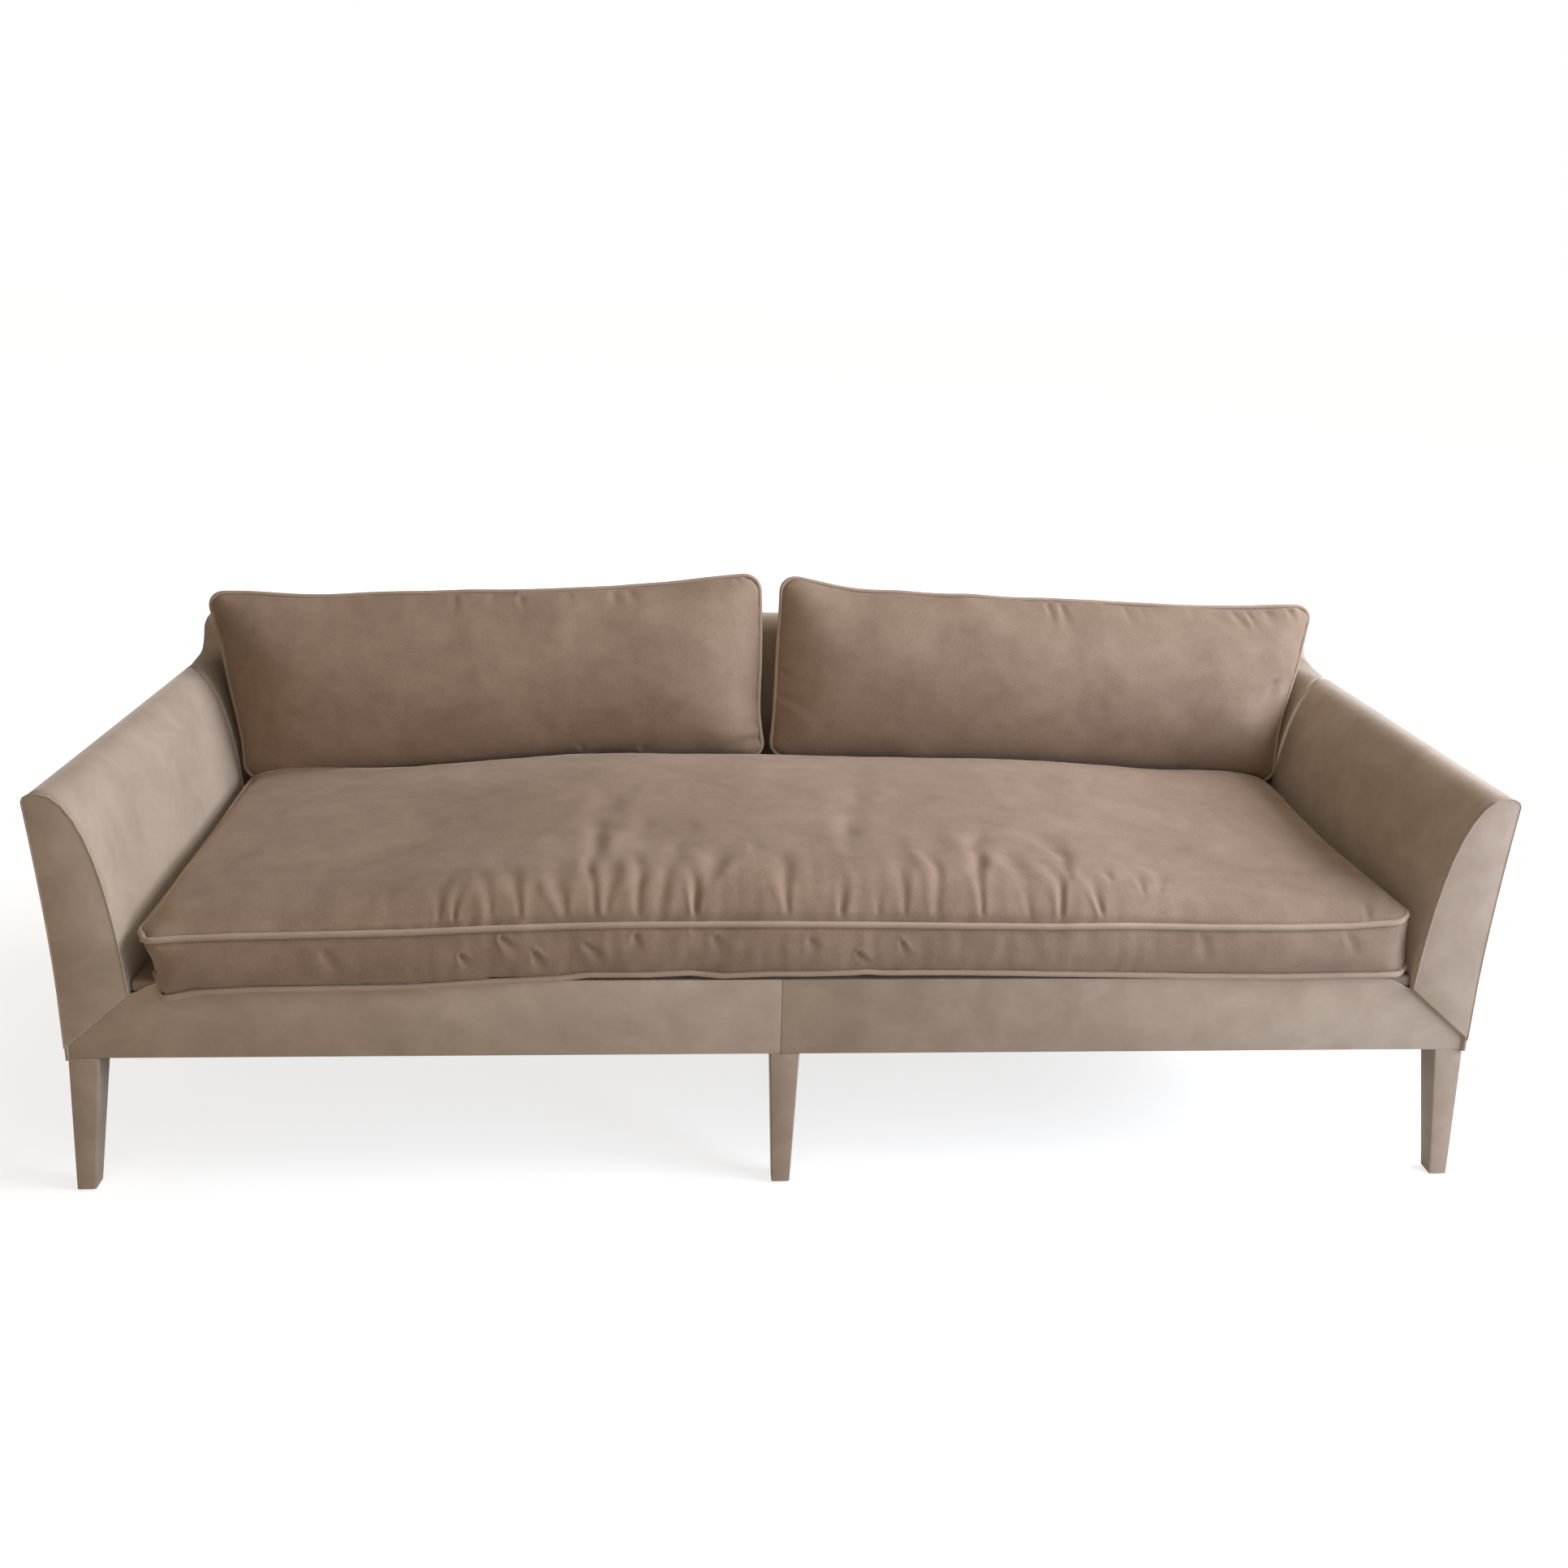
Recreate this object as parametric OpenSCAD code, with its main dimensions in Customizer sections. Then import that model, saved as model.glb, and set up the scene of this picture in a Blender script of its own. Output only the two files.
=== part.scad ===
// Two-arm sofa with a one-piece seat cushion, two loose back cushions and six wrapped legs.
// Millimetres, +Z up, +X to the sitter's left, front towards -Y, origin on the floor under the centre.

/* [Overall] */
// Width over the tips of the arms
overall_w = 2190; // [1900:10:2600]
// Depth from the arm fronts to the rear edge of the top of the back
overall_d = 850; // [800:5:950]
// Height of the top of the arms
arm_h = 664; // [640:1:700]
// Height of the top of the upholstered back
back_h = 735; // [715:1:780]
// Height of the seat deck under the cushion
deck_h = 364; // [350:1:384]

/* [Legs] */
// Clear height from the floor to the underside of the frame
leg_h = 237; // [180:1:250]
// Side of a leg at its top
leg_top_w = 46; // [38:1:60]
// Side of a leg at its foot
leg_foot_w = 29; // [24:1:40]
// How far a front corner leg leans out sideways over its height
leg_splay = 22; // [0:1:25]
// How far a front leg leans forward over its height
leg_front_rake = 3; // [0:1:12]
// How far a rear leg leans back over its height
leg_rake = 32; // [0:1:40]
// Distance from the arm fronts back to the face of the front legs
leg_setback = 7; // [4:1:12]
// Diameter of a nylon glide
glide_d = 18; // [12:1:22]
// Thickness of a nylon glide
glide_t = 4; // [2:0.5:6]

/* [Arms] */
// How far each arm leans out over the base at the front
arm_flare = 17; // [0:1:40]
// How far the sides lean out over the base at the back
back_flare = 10; // [0:1:20]
// Thickness of the arm at the level of the deck
arm_base_t = 101; // [85:1:130]
// Width of the rolled outer edge of the arm top
arm_roll_w = 20; // [12:1:30]
// Height of the rolled outer edge of the arm top
arm_roll_h = 12; // [8:1:24]
// Lean of the arm's inner face at its foot, as the first handle of its curve
arm_foot_lean = 9; // [0:1:20]
// Height of the first handle of the arm's inner curve
arm_handle_up = 158; // [100:1:200]
// Width of the second handle of the arm's inner curve
arm_handle_in = 63; // [40:1:70]
// Depth under the deck at which the outside of the arm starts to flare
flare_drop = 10; // [0:1:60]
// Distance from the foot of the back forward to its seam with the arm, down the inner face
seam_ahead = 62; // [50:1:100]
// The same distance where the seam crosses the outer edge of the arm top
seam_tip_ahead = 8; // [4:1:30]

/* [Back] */
// Depth of the back at the level of the deck, to the line under its rear edge
back_base_t = 182; // [170:1:200]
// Lean of the inside of the back
back_lean = 12.5; // [8:0.5:13]
// How far the outside of the back leans out over its height
tail_in = 50; // [40:1:60]
// Depth of the rounded crest of the back
crest_h = 35; // [25:1:45]
// Radius, seen from the front, of the top corners of the back
corner_r = 22; // [15:1:40]
// Width of the cove between the inside of the back and the inside of each arm
cove_w = 35; // [25:1:45]

/* [Seat cushion] */
// Gap between the seat cushion and each arm
seat_gap = 15; // [6:1:30]
// Thickness of the seat cushion's boxing
seat_t = 90; // [75:1:100]
// Rise of the crown above the boxing
seat_crown = 58; // [20:1:70]
// Radius of the seat cushion's corners in plan
seat_corner_r = 34; // [20:1:60]
// How far the front and ends pull in between the corners
seat_draw = 5; // [0:1:12]

/* [Back cushions] */
// Gap between the two back cushions
back_gap = 14; // [6:1:40]
// Gap between a back cushion and the arm, at the cushion's foot
back_side_gap = 8; // [4:1:30]
// Extra width at the top of a back cushion
back_cushion_spread = 50; // [20:1:60]
// Height of a back cushion along its lean
back_cushion_h = 350; // [320:1:400]
// Thickness of a back cushion's boxing
back_cushion_t = 108; // [90:1:120]
// Rise of the front crown of a back cushion
back_cushion_crown = 44; // [20:1:60]
// Radius of a back cushion's corners
back_corner_r = 30; // [15:1:50]
// Slope of a back cushion's foot towards its outer end, as it lies on the crown of the seat
back_tilt = 2.7; // [0:0.1:4]
// How far a back cushion's edges pull in between the corners
back_draw = 7; // [0:1:14]
// How much narrower the rear of a back cushion is at each edge
rear_inset = 34; // [10:1:40]

/* [Upholstery] */
// Radius of the self piping
piping_r = 4; // [2.5:0.5:6]
// Thickness of a cover with its lining
cover_t = 3; // [2:0.5:4]
// Thickness of the foam on the arms
arm_pad_t = 12; // [8:1:16]
// Thickness of the foam on the inside of the back
back_pad_t = 24; // [16:1:30]
// Thickness of the pad on the seat deck
deck_pad_t = 20; // [12:1:24]
// How far the arm fascias stand proud of the front border
fascia_proud = 7; // [4:1:12]
// Height above the underside at which the mitre between fascia and border meets the outer edge
mitre_up = 21; // [10:1:40]

/* [Frame] */
// Thickness of the hardwood rails and posts
rail_t = 28; // [22:1:32]
// Side of the corner blocks
block_w = 84; // [60:1:110]
// Height of the back rails
back_rail_h = 50; // [40:1:60]
// Height of the arm rails
arm_rail_h = 36; // [28:1:45]
// Number of sinuous seat springs
spring_n = 12; // [8:1:16]
// Radius of the spring wire
spring_r = 2; // [1.5:0.1:2.5]
// Distance between two runs of a spring
spring_pitch = 44; // [36:1:60]
// Width of a spring over its bends
spring_w = 52; // [44:1:60]
// Number of webbing straps up the back
web_up_n = 10; // [6:1:14]
// Number of webbing straps across the back
web_across_n = 2; // [1:1:3]
// Width of a webbing strap
web_w = 50; // [40:1:60]
// Thickness of a webbing strap
web_t = 1.5; // [1:0.25:2]
// Radius of the hanger bolts
bolt_r = 4; // [3:0.5:5]

/* [Hidden] */

cloth_colour = "#b3a496";
velvet_colour = "#947e6f";
wood_colour = "#c9a57a";
foam_colour = "#efe3b4";
steel_colour = "#8d9194";

// Clearances and one overrun for every cut
seat_clear = 0.3;
fit_clear = 0.1;
eps = 1;

// Levels and half widths
front = -overall_d / 2;
half_w = overall_w / 2;
base_half = half_w - arm_flare;
cloth_h = leg_h;
cloth_t = cover_t / 2;
deck_pad_z = deck_h - deck_pad_t;
deck_cloth_z = deck_pad_z - cloth_t;
wire_share = 0.75;
wire_r = spring_r * wire_share;
wire_z = deck_cloth_z - seat_clear - wire_r;
spring_z = wire_z - wire_r - seat_clear - spring_r;
rail_top = spring_z - spring_r - seat_clear;
rail_z = cloth_h + cover_t + seat_clear;
rail_h = rail_top - rail_z;
tip_z = arm_h - arm_roll_h;
foot_x = base_half - arm_base_t;
inner_side = base_half - cover_t - seat_clear;
border_y = fascia_proud;
fascia_t = fascia_proud + cover_t;
rail_y = border_y + cover_t + seat_clear;
tail_y = overall_d - tail_in;
back_foot_y = overall_d - back_base_t;
seam_y = back_foot_y - seam_ahead;
seam_tip_y = back_foot_y - seam_tip_ahead;

// Planes of the back: the inside leans by back_lean, the outside runs from the tail to the crest
crest_z = back_h - crest_h;
crest_drop_share = 0.35;
side_crest_z = crest_z - corner_r * crest_drop_share;
function inside_y(z) = back_foot_y + (z - deck_h) * tan(back_lean);
tail_slope = (overall_d - tail_y) / (crest_z - cloth_h);
tail_lean = atan(tail_slope);
function outside_y(z) = tail_y + (z - cloth_h) * tail_slope;

// Cubic curve through its two end points with two handles
function curve(a, b, c, d, t) =
    pow(1 - t, 3) * a + 3 * pow(1 - t, 2) * t * b + 3 * (1 - t) * t * t * c + pow(t, 3) * d;
function curve_way(a, b, c, d, t) =
    3 * pow(1 - t, 2) * (b - a) + 6 * (1 - t) * t * (c - b) + 3 * t * t * (d - c);
function within(v, low, high) = min(max(v, low), high);
function mix(a, b, t) = a + (b - a) * t;
function unit_of(v) = v / norm(v);

// Arm section, as [x, z], from the deck up the inner face and over the rolled edge to the tip.
// inset moves it into the arm along its normal.
tuck_z = deck_pad_z + cloth_t;
arm_a = [foot_x, tuck_z];
arm_b = arm_a + [arm_foot_lean, arm_handle_up];
arm_d = [half_w - arm_roll_w, arm_h];
arm_c = arm_d - [arm_handle_in, 0];
function arm_face(t, inset) =
    let (p = curve(arm_a, arm_b, arm_c, arm_d, t))
    let (w = unit_of(curve_way(arm_a, arm_b, arm_c, arm_d, t)))
    p + inset * [w[1], -w[0]];
function arm_roll(t, inset) =
    [arm_d[0] + (arm_roll_w - inset) * sin(90 * t), tip_z + (arm_roll_h - inset) * cos(90 * t)];
arm_face_shares = [0, 0.16, 0.32, 0.46, 0.58, 0.68, 0.77, 0.86, 0.94, 1];
arm_roll_shares = [0.34, 0.67, 1];
function arm_section(inset) = concat(
    [for (t = arm_face_shares) arm_face(t, inset)],
    [for (t = arm_roll_shares) arm_roll(t, inset)]);

// The arm narrows to the base width towards the back, most at its top
function run_back(y) = within(y / seam_tip_y, 0, 1);
function arm_shift(y, z) =
    (arm_flare - back_flare) * run_back(y) * within((z - deck_pad_z) / (tip_z - deck_pad_z), 0, 1);
flare_power = 1.5;
flare_from = deck_h - flare_drop;
function flare(y, z) =
    mix(arm_flare, back_flare, run_back(y)) * pow(within((z - flare_from) / (tip_z - flare_from), 0, 1), flare_power);
function outer_x(y, z) = base_half + flare(y, z);
function on_arm(p, y) = [p[0] - arm_shift(y, p[1]), front + y, p[1]];

// Seam between arm and back: straight up the inner face, then slanting back over the arm top
seam_turn_n = 3;
seam_power = 1.3;
function seam_at(k) =
    let (n = len(arm_face_shares) - seam_turn_n, last = len(arm_section(0)) - 1)
    k < n ? seam_y : mix(seam_y, seam_tip_y, pow((k - n + 1) / (last - n + 1), seam_power));

// Upper edge of the arm's side, as [y, z]: level to the seam, a concave sweep, then the crest
sweep_end_share = 0.8;
sweep_flat_share = 0.72;
sweep_lift_share = 0.12;
sweep_rise_share = 0.75;
sweep_a = [seam_tip_y, tip_z];
sweep_d = [inside_y(side_crest_z) + corner_r * sweep_end_share, side_crest_z];
sweep_b = sweep_a + [(sweep_d[0] - sweep_a[0]) * sweep_flat_share, 0];
sweep_c = sweep_d - [(sweep_d[0] - sweep_a[0]) * sweep_lift_share, (sweep_d[1] - sweep_a[1]) * sweep_rise_share];
sweep_n = 6;
function sweep_at(k) = curve(sweep_a, sweep_b, sweep_c, sweep_d, k / sweep_n);

// Rounded crest between two points at one level, as [y, z]
crest_n = 8;
crest_square = 2.6;
function crest_at(k, y0, y1, z, h) =
    let (a = 180 * k / crest_n, p = 2 / crest_square)
    let (m = (y0 + y1) / 2, r = (y1 - y0) / 2)
    [m - r * sign(cos(a)) * pow(abs(cos(a)), p), z + h * pow(abs(sin(a)), p)];
side_crest_share = 0.8;
side_crest_h = crest_h * side_crest_share;
side_line = concat(
    [for (k = [1:sweep_n]) sweep_at(k)],
    [for (k = [1:crest_n]) crest_at(k, sweep_d[0], outside_y(side_crest_z), side_crest_z, side_crest_h)]);

// Line of points moved to the right of its own way by d
function beside(line, d) = [for (k = [0:len(line) - 1])
    let (w = unit_of(line[min(k + 1, len(line) - 1)] - line[max(k - 1, 0)]))
    line[k] + d * [w[1], -w[0]]];

// Thin shell between two grids of points of the same size
function four(a, b, c, d) = [[a, b, c], [a, c, d]];
module shell(outer, inner) {
    rows = len(outer);
    cols = len(outer[0]);
    n = rows * cols;
    points = concat([for (r = outer) each r], [for (r = inner) each r]);
    skin = [for (i = [0:rows - 2], j = [0:cols - 2])
        each four(i * cols + j, i * cols + j + 1, (i + 1) * cols + j + 1, (i + 1) * cols + j)];
    lining = [for (f = skin) [f[2] + n, f[1] + n, f[0] + n]];
    rim = concat(
        [for (j = [0:cols - 1]) j],
        [for (i = [1:rows - 1]) i * cols + cols - 1],
        [for (j = [cols - 2:-1:0]) (rows - 1) * cols + j],
        [for (i = [rows - 2:-1:1]) i * cols]);
    edge = [for (k = [0:len(rim) - 1])
        let (a = rim[k], b = rim[(k + 1) % len(rim)])
        each four(b, a, a + n, b + n)];
    polyhedron(points, concat(skin, lining, edge));
}

// Solid through a stack of rings of points, each end closed by a fan round its middle
function middle(ring) = [for (i = [0:2]) let (v = [for (p = ring) p[i]]) (min(v) + max(v)) / 2];
module stack(rings) {
    n = len(rings[0]);
    last = (len(rings) - 1) * n;
    hub = len(rings) * n;
    sides = [for (i = [0:len(rings) - 2], j = [0:n - 1])
        each four((i + 1) * n + j, (i + 1) * n + (j + 1) % n, i * n + (j + 1) % n, i * n + j)];
    low = [for (j = [0:n - 1]) [hub, j, (j + 1) % n]];
    high = [for (j = [0:n - 1]) [hub + 1, last + (j + 1) % n, last + j]];
    polyhedron(concat([for (r = rings) each r], [middle(rings[0]), middle(rings[len(rings) - 1])]),
        concat(sides, low, high));
}

// Prism along X from x0 to x1 over an outline in [y, z], y counted from the arm fronts
module across(outline, x0, x1) {
    translate([x0, front, 0])
        rotate([90, 0, 90])
            linear_extrude(x1 - x0)
                polygon(outline);
}

// Box from one corner to the other, y counted from the arm fronts
module block(low, high) {
    translate([low[0], front + low[1], low[2]])
        cube([high[0] - low[0], high[1] - low[1], high[2] - low[2]]);
}

module pair() {
    children();
    mirror([1, 0, 0]) children();
}

// Band behind the inside of the back, between two depths square to it
function inside_band(z0, z1, d0, d1) =
    let (c = cos(back_lean))
    [[inside_y(z0) + d0 / c, z0], [inside_y(z0) + d1 / c, z0],
     [inside_y(z1) + d1 / c, z1], [inside_y(z1) + d0 / c, z1]];
// Band in front of the outside of the back
function outside_band(z0, z1, d0, d1) =
    let (c = cos(tail_lean))
    [[outside_y(z0) - d1 / c, z0], [outside_y(z0) - d0 / c, z0],
     [outside_y(z1) - d0 / c, z1], [outside_y(z1) - d1 / c, z1]];

// Depths of the layers of the back
pad_d = cover_t + seat_clear;
web_d = pad_d + back_pad_t + seat_clear;
web_across_d = web_d + web_t + seat_clear;
back_rail_d = web_across_d + web_t + seat_clear;
post_d = back_rail_d + rail_t + seat_clear;
panel_d = cover_t + seat_clear;
rail_under_share = 2;
back_rail_top = side_crest_z - cover_t * rail_under_share;

// Upholstered arm, drawn for the left arm on +X
arm_ends = [0, 0.25, 0.5, 0.75, 1];
function arm_grid(y0, inset, n, end_inset) = [for (k = [0:n - 1])
    let (p = arm_section(inset)[k])
    [for (s = arm_ends) on_arm(p, mix(y0, seam_at(k) - end_inset, s))]];
section_n = len(arm_section(0));
face_n = len(arm_face_shares);

module inside_arm_cover() {
    color(cloth_colour)
        shell(arm_grid(fascia_t + seat_clear, 0, section_n, seat_clear),
            arm_grid(fascia_t + seat_clear, cover_t, section_n, seat_clear));
}

module inside_arm_pad() {
    pad_in = cover_t + seat_clear;
    color(foam_colour)
        shell(arm_grid(fascia_t + seat_clear, pad_in, face_n, seat_clear),
            arm_grid(fascia_t + seat_clear, pad_in + arm_pad_t, face_n, seat_clear));
}

// Outside arm: a thin skin ruled between the base and the upper edge of the side
panel_rows = 8;
panel_top = concat(
    [for (s = arm_ends) [mix(fascia_t + seat_clear, seam_tip_y, s), tip_z]], side_line);
module outside_arm_panel() {
    lowered = beside(panel_top, seat_clear);
    n = len(lowered) - 1;
    bottom = [for (k = [0:n])
        [mix(fascia_t + seat_clear, tail_y - panel_d, (lowered[k][0] - lowered[0][0])
            / (lowered[n][0] - lowered[0][0])), cloth_h]];
    function skin(depth) = [for (k = [0:n])
        [for (j = [0:panel_rows])
            let (p = mix(bottom[k], lowered[k], j / panel_rows))
            let (y = min(p[0], outside_y(p[1]) - panel_d))
            [outer_x(y, p[1]) - depth, front + y, p[1]]]];
    color(cloth_colour)
        shell(skin(0), skin(cover_t));
}

// Arm fascia and front border share the mitre line
mitre_in = arm_a;
mitre_out = [base_half, cloth_h + mitre_up];
flare_shares = [0, 0.24, 0.36, 0.48, 0.6, 0.72, 0.86];
fascia_outer = [for (s = flare_shares) let (z = mix(mitre_out[1], tip_z, s)) [outer_x(0, z), z]];
fascia_step = 0.1;
module arm_fascia() {
    inner = [for (t = [0:fascia_step:1]) arm_face(t, 0)];
    roll = [for (t = arm_roll_shares) arm_roll(t, 0)];
    color(cloth_colour)
        translate([0, front + fascia_t, 0])
            rotate([90, 0, 0])
                linear_extrude(fascia_t)
                    polygon(concat(inner, roll, [for (k = [len(fascia_outer) - 1:-1:0]) fascia_outer[k]]));
}

border_dip = 50;
module front_border() {
    dip = [for (t = [0:fascia_step * 2:1])
        curve([foot_x - border_dip, deck_h], [foot_x - border_dip / 2, deck_h],
            mitre_in + [-border_dip / 4, 0], mitre_in, t)];
    color(cloth_colour)
        translate([0, front + border_y + cover_t, 0])
            rotate([90, 0, 0])
                linear_extrude(cover_t)
                    polygon(concat([[seat_clear, cloth_h], [base_half, cloth_h], mitre_out - [0, seat_clear]],
                        [for (k = [len(dip) - 1:-1:0]) dip[k] - [seat_clear, seat_clear]],
                        [[seat_clear, deck_h - seat_clear]]));
}

// Inside of the back: one cover from the deck, coved into both arms, over the crest to the rear edge
cove_shares = [0, 0.4, 0.7, 0.9, 1];
cove_edge = concat(
    [for (k = [0:section_n - 1]) on_arm(arm_section(0)[k], seam_at(k))],
    [for (p = side_line) [outer_x(p[0], p[1]), front + p[0], p[1]]]);
cove_lining = concat(
    [for (k = [0:section_n - 1]) on_arm(arm_section(cover_t)[k], seam_at(k))],
    [for (p = side_line) [outer_x(p[0], p[1]) - cover_t, front + p[0], p[1]]]);
back_levels = concat(
    [for (k = [0:face_n - 1]) arm_section(0)[k][1]],
    [for (k = [face_n:section_n - 1 + sweep_n])
        mix(arm_h, crest_z, (k - face_n + 1) / (section_n - face_n + sweep_n))]);
back_line = concat(
    [for (z = back_levels) [inside_y(z), z]],
    [for (k = [1:crest_n]) crest_at(k, inside_y(crest_z), outside_y(crest_z), crest_z, crest_h)]);
function back_row(edge, mid) =
    let (x0 = edge[0] - cove_w)
    let (right = [for (t = cove_shares)
        let (w = 1 - sqrt(1 - t * t))
        [x0 + cove_w * t, mix(front + mid[0], edge[1], w), mix(mid[1], edge[2], w)]])
    concat(
        [for (k = [len(right) - 1:-1:0]) [-right[k][0], right[k][1], right[k][2]]],
        [[0, front + mid[0], mid[1]]], right);
module inside_back_cover() {
    lining = beside(back_line, cover_t);
    color(cloth_colour)
        shell([for (k = [len(cove_edge) - 1:-1:0]) back_row(cove_edge[k], back_line[k])],
            [for (k = [len(cove_edge) - 1:-1:0]) back_row(cove_lining[k], lining[k])]);
}

back_pad_half = foot_x - cove_w;
module inside_back_pad() {
    color(foam_colour)
        across(inside_band(deck_pad_z, back_rail_top, pad_d, pad_d + back_pad_t),
            -back_pad_half, back_pad_half);
}

// Outside of the back: one flat panel whose ends follow the flare of the sides
panel_levels = [for (s = [0, 0.3, 0.45, 0.6, 0.75, 0.9, 1]) mix(cloth_h, side_crest_z - cover_t, s)];
module outside_back_panel() {
    edge = [for (z = panel_levels) [outer_x(tail_y, z), (z - cloth_h) / cos(tail_lean)]];
    top = (crest_z - cover_t - cloth_h) / cos(tail_lean);
    shoulder = [base_half - corner_r, edge[len(edge) - 1][1]];
    half = concat(edge, [shoulder, [shoulder[0], top]]);
    color(cloth_colour)
        translate([0, front + outside_y(cloth_h), cloth_h])
            rotate([90 - tail_lean, 0, 0])
                linear_extrude(cover_t)
                    polygon(concat(half, [for (k = [len(half) - 1:-1:0]) [-half[k][0], half[k][1]]]));
}

// Seat deck
deck_gap = seat_clear * 2;
deck_back = inside_y(deck_pad_z) - deck_gap;
module deck_sheet(z, thick) {
    side = foot_x - deck_gap;
    translate([0, front, z])
        linear_extrude(thick)
            polygon([[-side, rail_y], [side, rail_y], [side, seam_y - deck_gap], [side - cove_w, deck_back],
                [cove_w - side, deck_back], [-side, seam_y - deck_gap]]);
}

module deck_pad() {
    color(foam_colour)
        deck_sheet(deck_pad_z, deck_pad_t);
}

module deck_cloth() {
    color("#3b3a38")
        block([-foot_x, rail_y, deck_cloth_z], [foot_x, inside_y(deck_pad_z) + post_d, deck_cloth_z + cloth_t]);
}

// Legs: centre of each at the floor and at the frame, y counted from the arm fronts
leg_ys = [leg_setback + leg_top_w / 2, tail_y - panel_d - leg_top_w / 2];
leg_xs = [-(base_half - leg_top_w / 2 - fit_clear), 0, base_half - leg_top_w / 2 - fit_clear];
function leg_top(i, j) = [leg_xs[i], front + leg_ys[j], leg_h];
leg_rakes = [-leg_front_rake, leg_rake];
function leg_foot(i, j) = [leg_xs[i] + sign(i - 1) * leg_splay, front + leg_ys[j] + leg_rakes[j], glide_t];
leg_bolt_depth = 40;
insert_depth = 16;
insert_wall = 2;
rear_rail_y = outside_y(rail_z) - panel_d - rail_t / 2;
function bolt_at(i, j) = [leg_xs[i], front + (j == 0 ? rail_y + rail_t / 2 : rear_rail_y), 0];

module square_leg(top, foot) {
    function corners(c, w) = [for (s = [[-1, -1], [1, -1], [1, 1], [-1, 1]])
        [c[0] + s[0] * w / 2, c[1] + s[1] * w / 2, c[2]]];
    stack([corners(foot, leg_foot_w), corners(top, leg_top_w)]);
}

module leg(i, j) {
    color(cloth_colour)
        difference() {
            square_leg(leg_top(i, j), leg_foot(i, j));
            translate(bolt_at(i, j) + [0, 0, leg_h - leg_bolt_depth])
                cylinder(r = bolt_r + fit_clear, h = leg_bolt_depth + eps, $fn = 32);
        }
}

module leg_glides() {
    color("#2d2b2a")
        for (i = [0:2], j = [0:1])
            translate([leg_foot(i, j)[0], leg_foot(i, j)[1], 0])
                cylinder(d = glide_d, h = glide_t, $fn = 32);
}

module leg_bolts() {
    color(steel_colour)
        for (i = [0:2], j = [0:1])
            translate(bolt_at(i, j) + [0, 0, leg_h - leg_bolt_depth])
                cylinder(r = bolt_r, h = leg_bolt_depth + cover_t + insert_depth, $fn = 32);
}

module insert_body(r) {
    for (i = [0:2], j = [0:1])
        translate(bolt_at(i, j) + [0, 0, rail_z])
            cylinder(r = r, h = insert_depth, $fn = 32);
}

module bolt_space(r, z0, z1) {
    for (i = [0:2], j = [0:1])
        translate(bolt_at(i, j) + [0, 0, z0])
            cylinder(r = r, h = z1 - z0, $fn = 32);
}

module leg_inserts() {
    color("#c2a24e")
        difference() {
            insert_body(bolt_r + insert_wall);
            bolt_space(bolt_r + fit_clear, rail_z - eps, rail_z + insert_depth + eps);
        }
}

module insert_seats() {
    bolt_space(bolt_r + insert_wall + fit_clear, rail_z - eps, rail_z + insert_depth + eps);
}

module dust_cover() {
    color("#3b3a38")
        difference() {
            block([-inner_side, rail_y, cloth_h], [inner_side, tail_y - panel_d, cloth_h + cover_t]);
            bolt_space(bolt_r + fit_clear, cloth_h - eps, cloth_h + cover_t + eps);
        }
}

// Hardwood base
module front_rail() {
    color(wood_colour)
        difference() {
            block([-inner_side, rail_y, rail_z], [inner_side, rail_y + rail_t, rail_top]);
            insert_seats();
        }
}

module rear_rail() {
    color(wood_colour)
        difference() {
            across(outside_band(rail_z, rail_top, panel_d, panel_d + rail_t), -inner_side, inner_side);
            insert_seats();
        }
}

rear_rail_face = outside_y(rail_z) - (panel_d + rail_t) / cos(tail_lean) - seat_clear;
module side_rail() {
    color(wood_colour)
        block([inner_side - rail_t, rail_y + rail_t + seat_clear, rail_z],
            [inner_side, rear_rail_face, rail_top]);
}

stretcher_n = 2;
module seat_stretchers() {
    color(wood_colour)
        for (k = [1:stretcher_n])
            translate([inner_side * (2 * k / (stretcher_n + 1) - 1), 0, 0])
                block([-rail_t / 2, rail_y + rail_t + seat_clear, rail_z],
                    [rail_t / 2, rear_rail_face, rail_z + rail_h * stretcher_share]);
}
stretcher_share = 0.7;

module corner_blocks() {
    x0 = inner_side - rail_t - seat_clear;
    y0 = rail_y + rail_t + seat_clear * 2;
    color(wood_colour)
        pair()
            for (m = [[y0, 1], [rear_rail_face - seat_clear, -1]])
                translate([0, front, rail_z])
                    linear_extrude(rail_h * stretcher_share)
                        polygon([[x0, m[0]], [x0 - block_w, m[0]], [x0, m[0] + m[1] * block_w]]);
}

// Arm frame: a shaped front post, a top rail and a tacking rail
pad_back = cover_t + seat_clear + arm_pad_t + seat_clear;
module arm_post() {
    inner = [for (k = [0:face_n - 1]) if (k < face_n - 1) arm_section(pad_back)[k]];
    top = inner[len(inner) - 1];
    side = [for (k = [len(fascia_outer) - 1:-1:0])
        if (fascia_outer[k][1] > rail_top && fascia_outer[k][1] < top[1])
            fascia_outer[k] - [cover_t + seat_clear * 3, 0]];
    foot = [side[len(side) - 1][0], rail_top + seat_clear];
    color(wood_colour)
        translate([0, front + fascia_t + seat_clear + rail_t, 0])
            rotate([90, 0, 0])
                linear_extrude(rail_t)
                    polygon(concat([[inner[0][0], rail_top + seat_clear]], inner,
                        [[side[0][0], top[1]]], side, [foot]));
}

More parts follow.
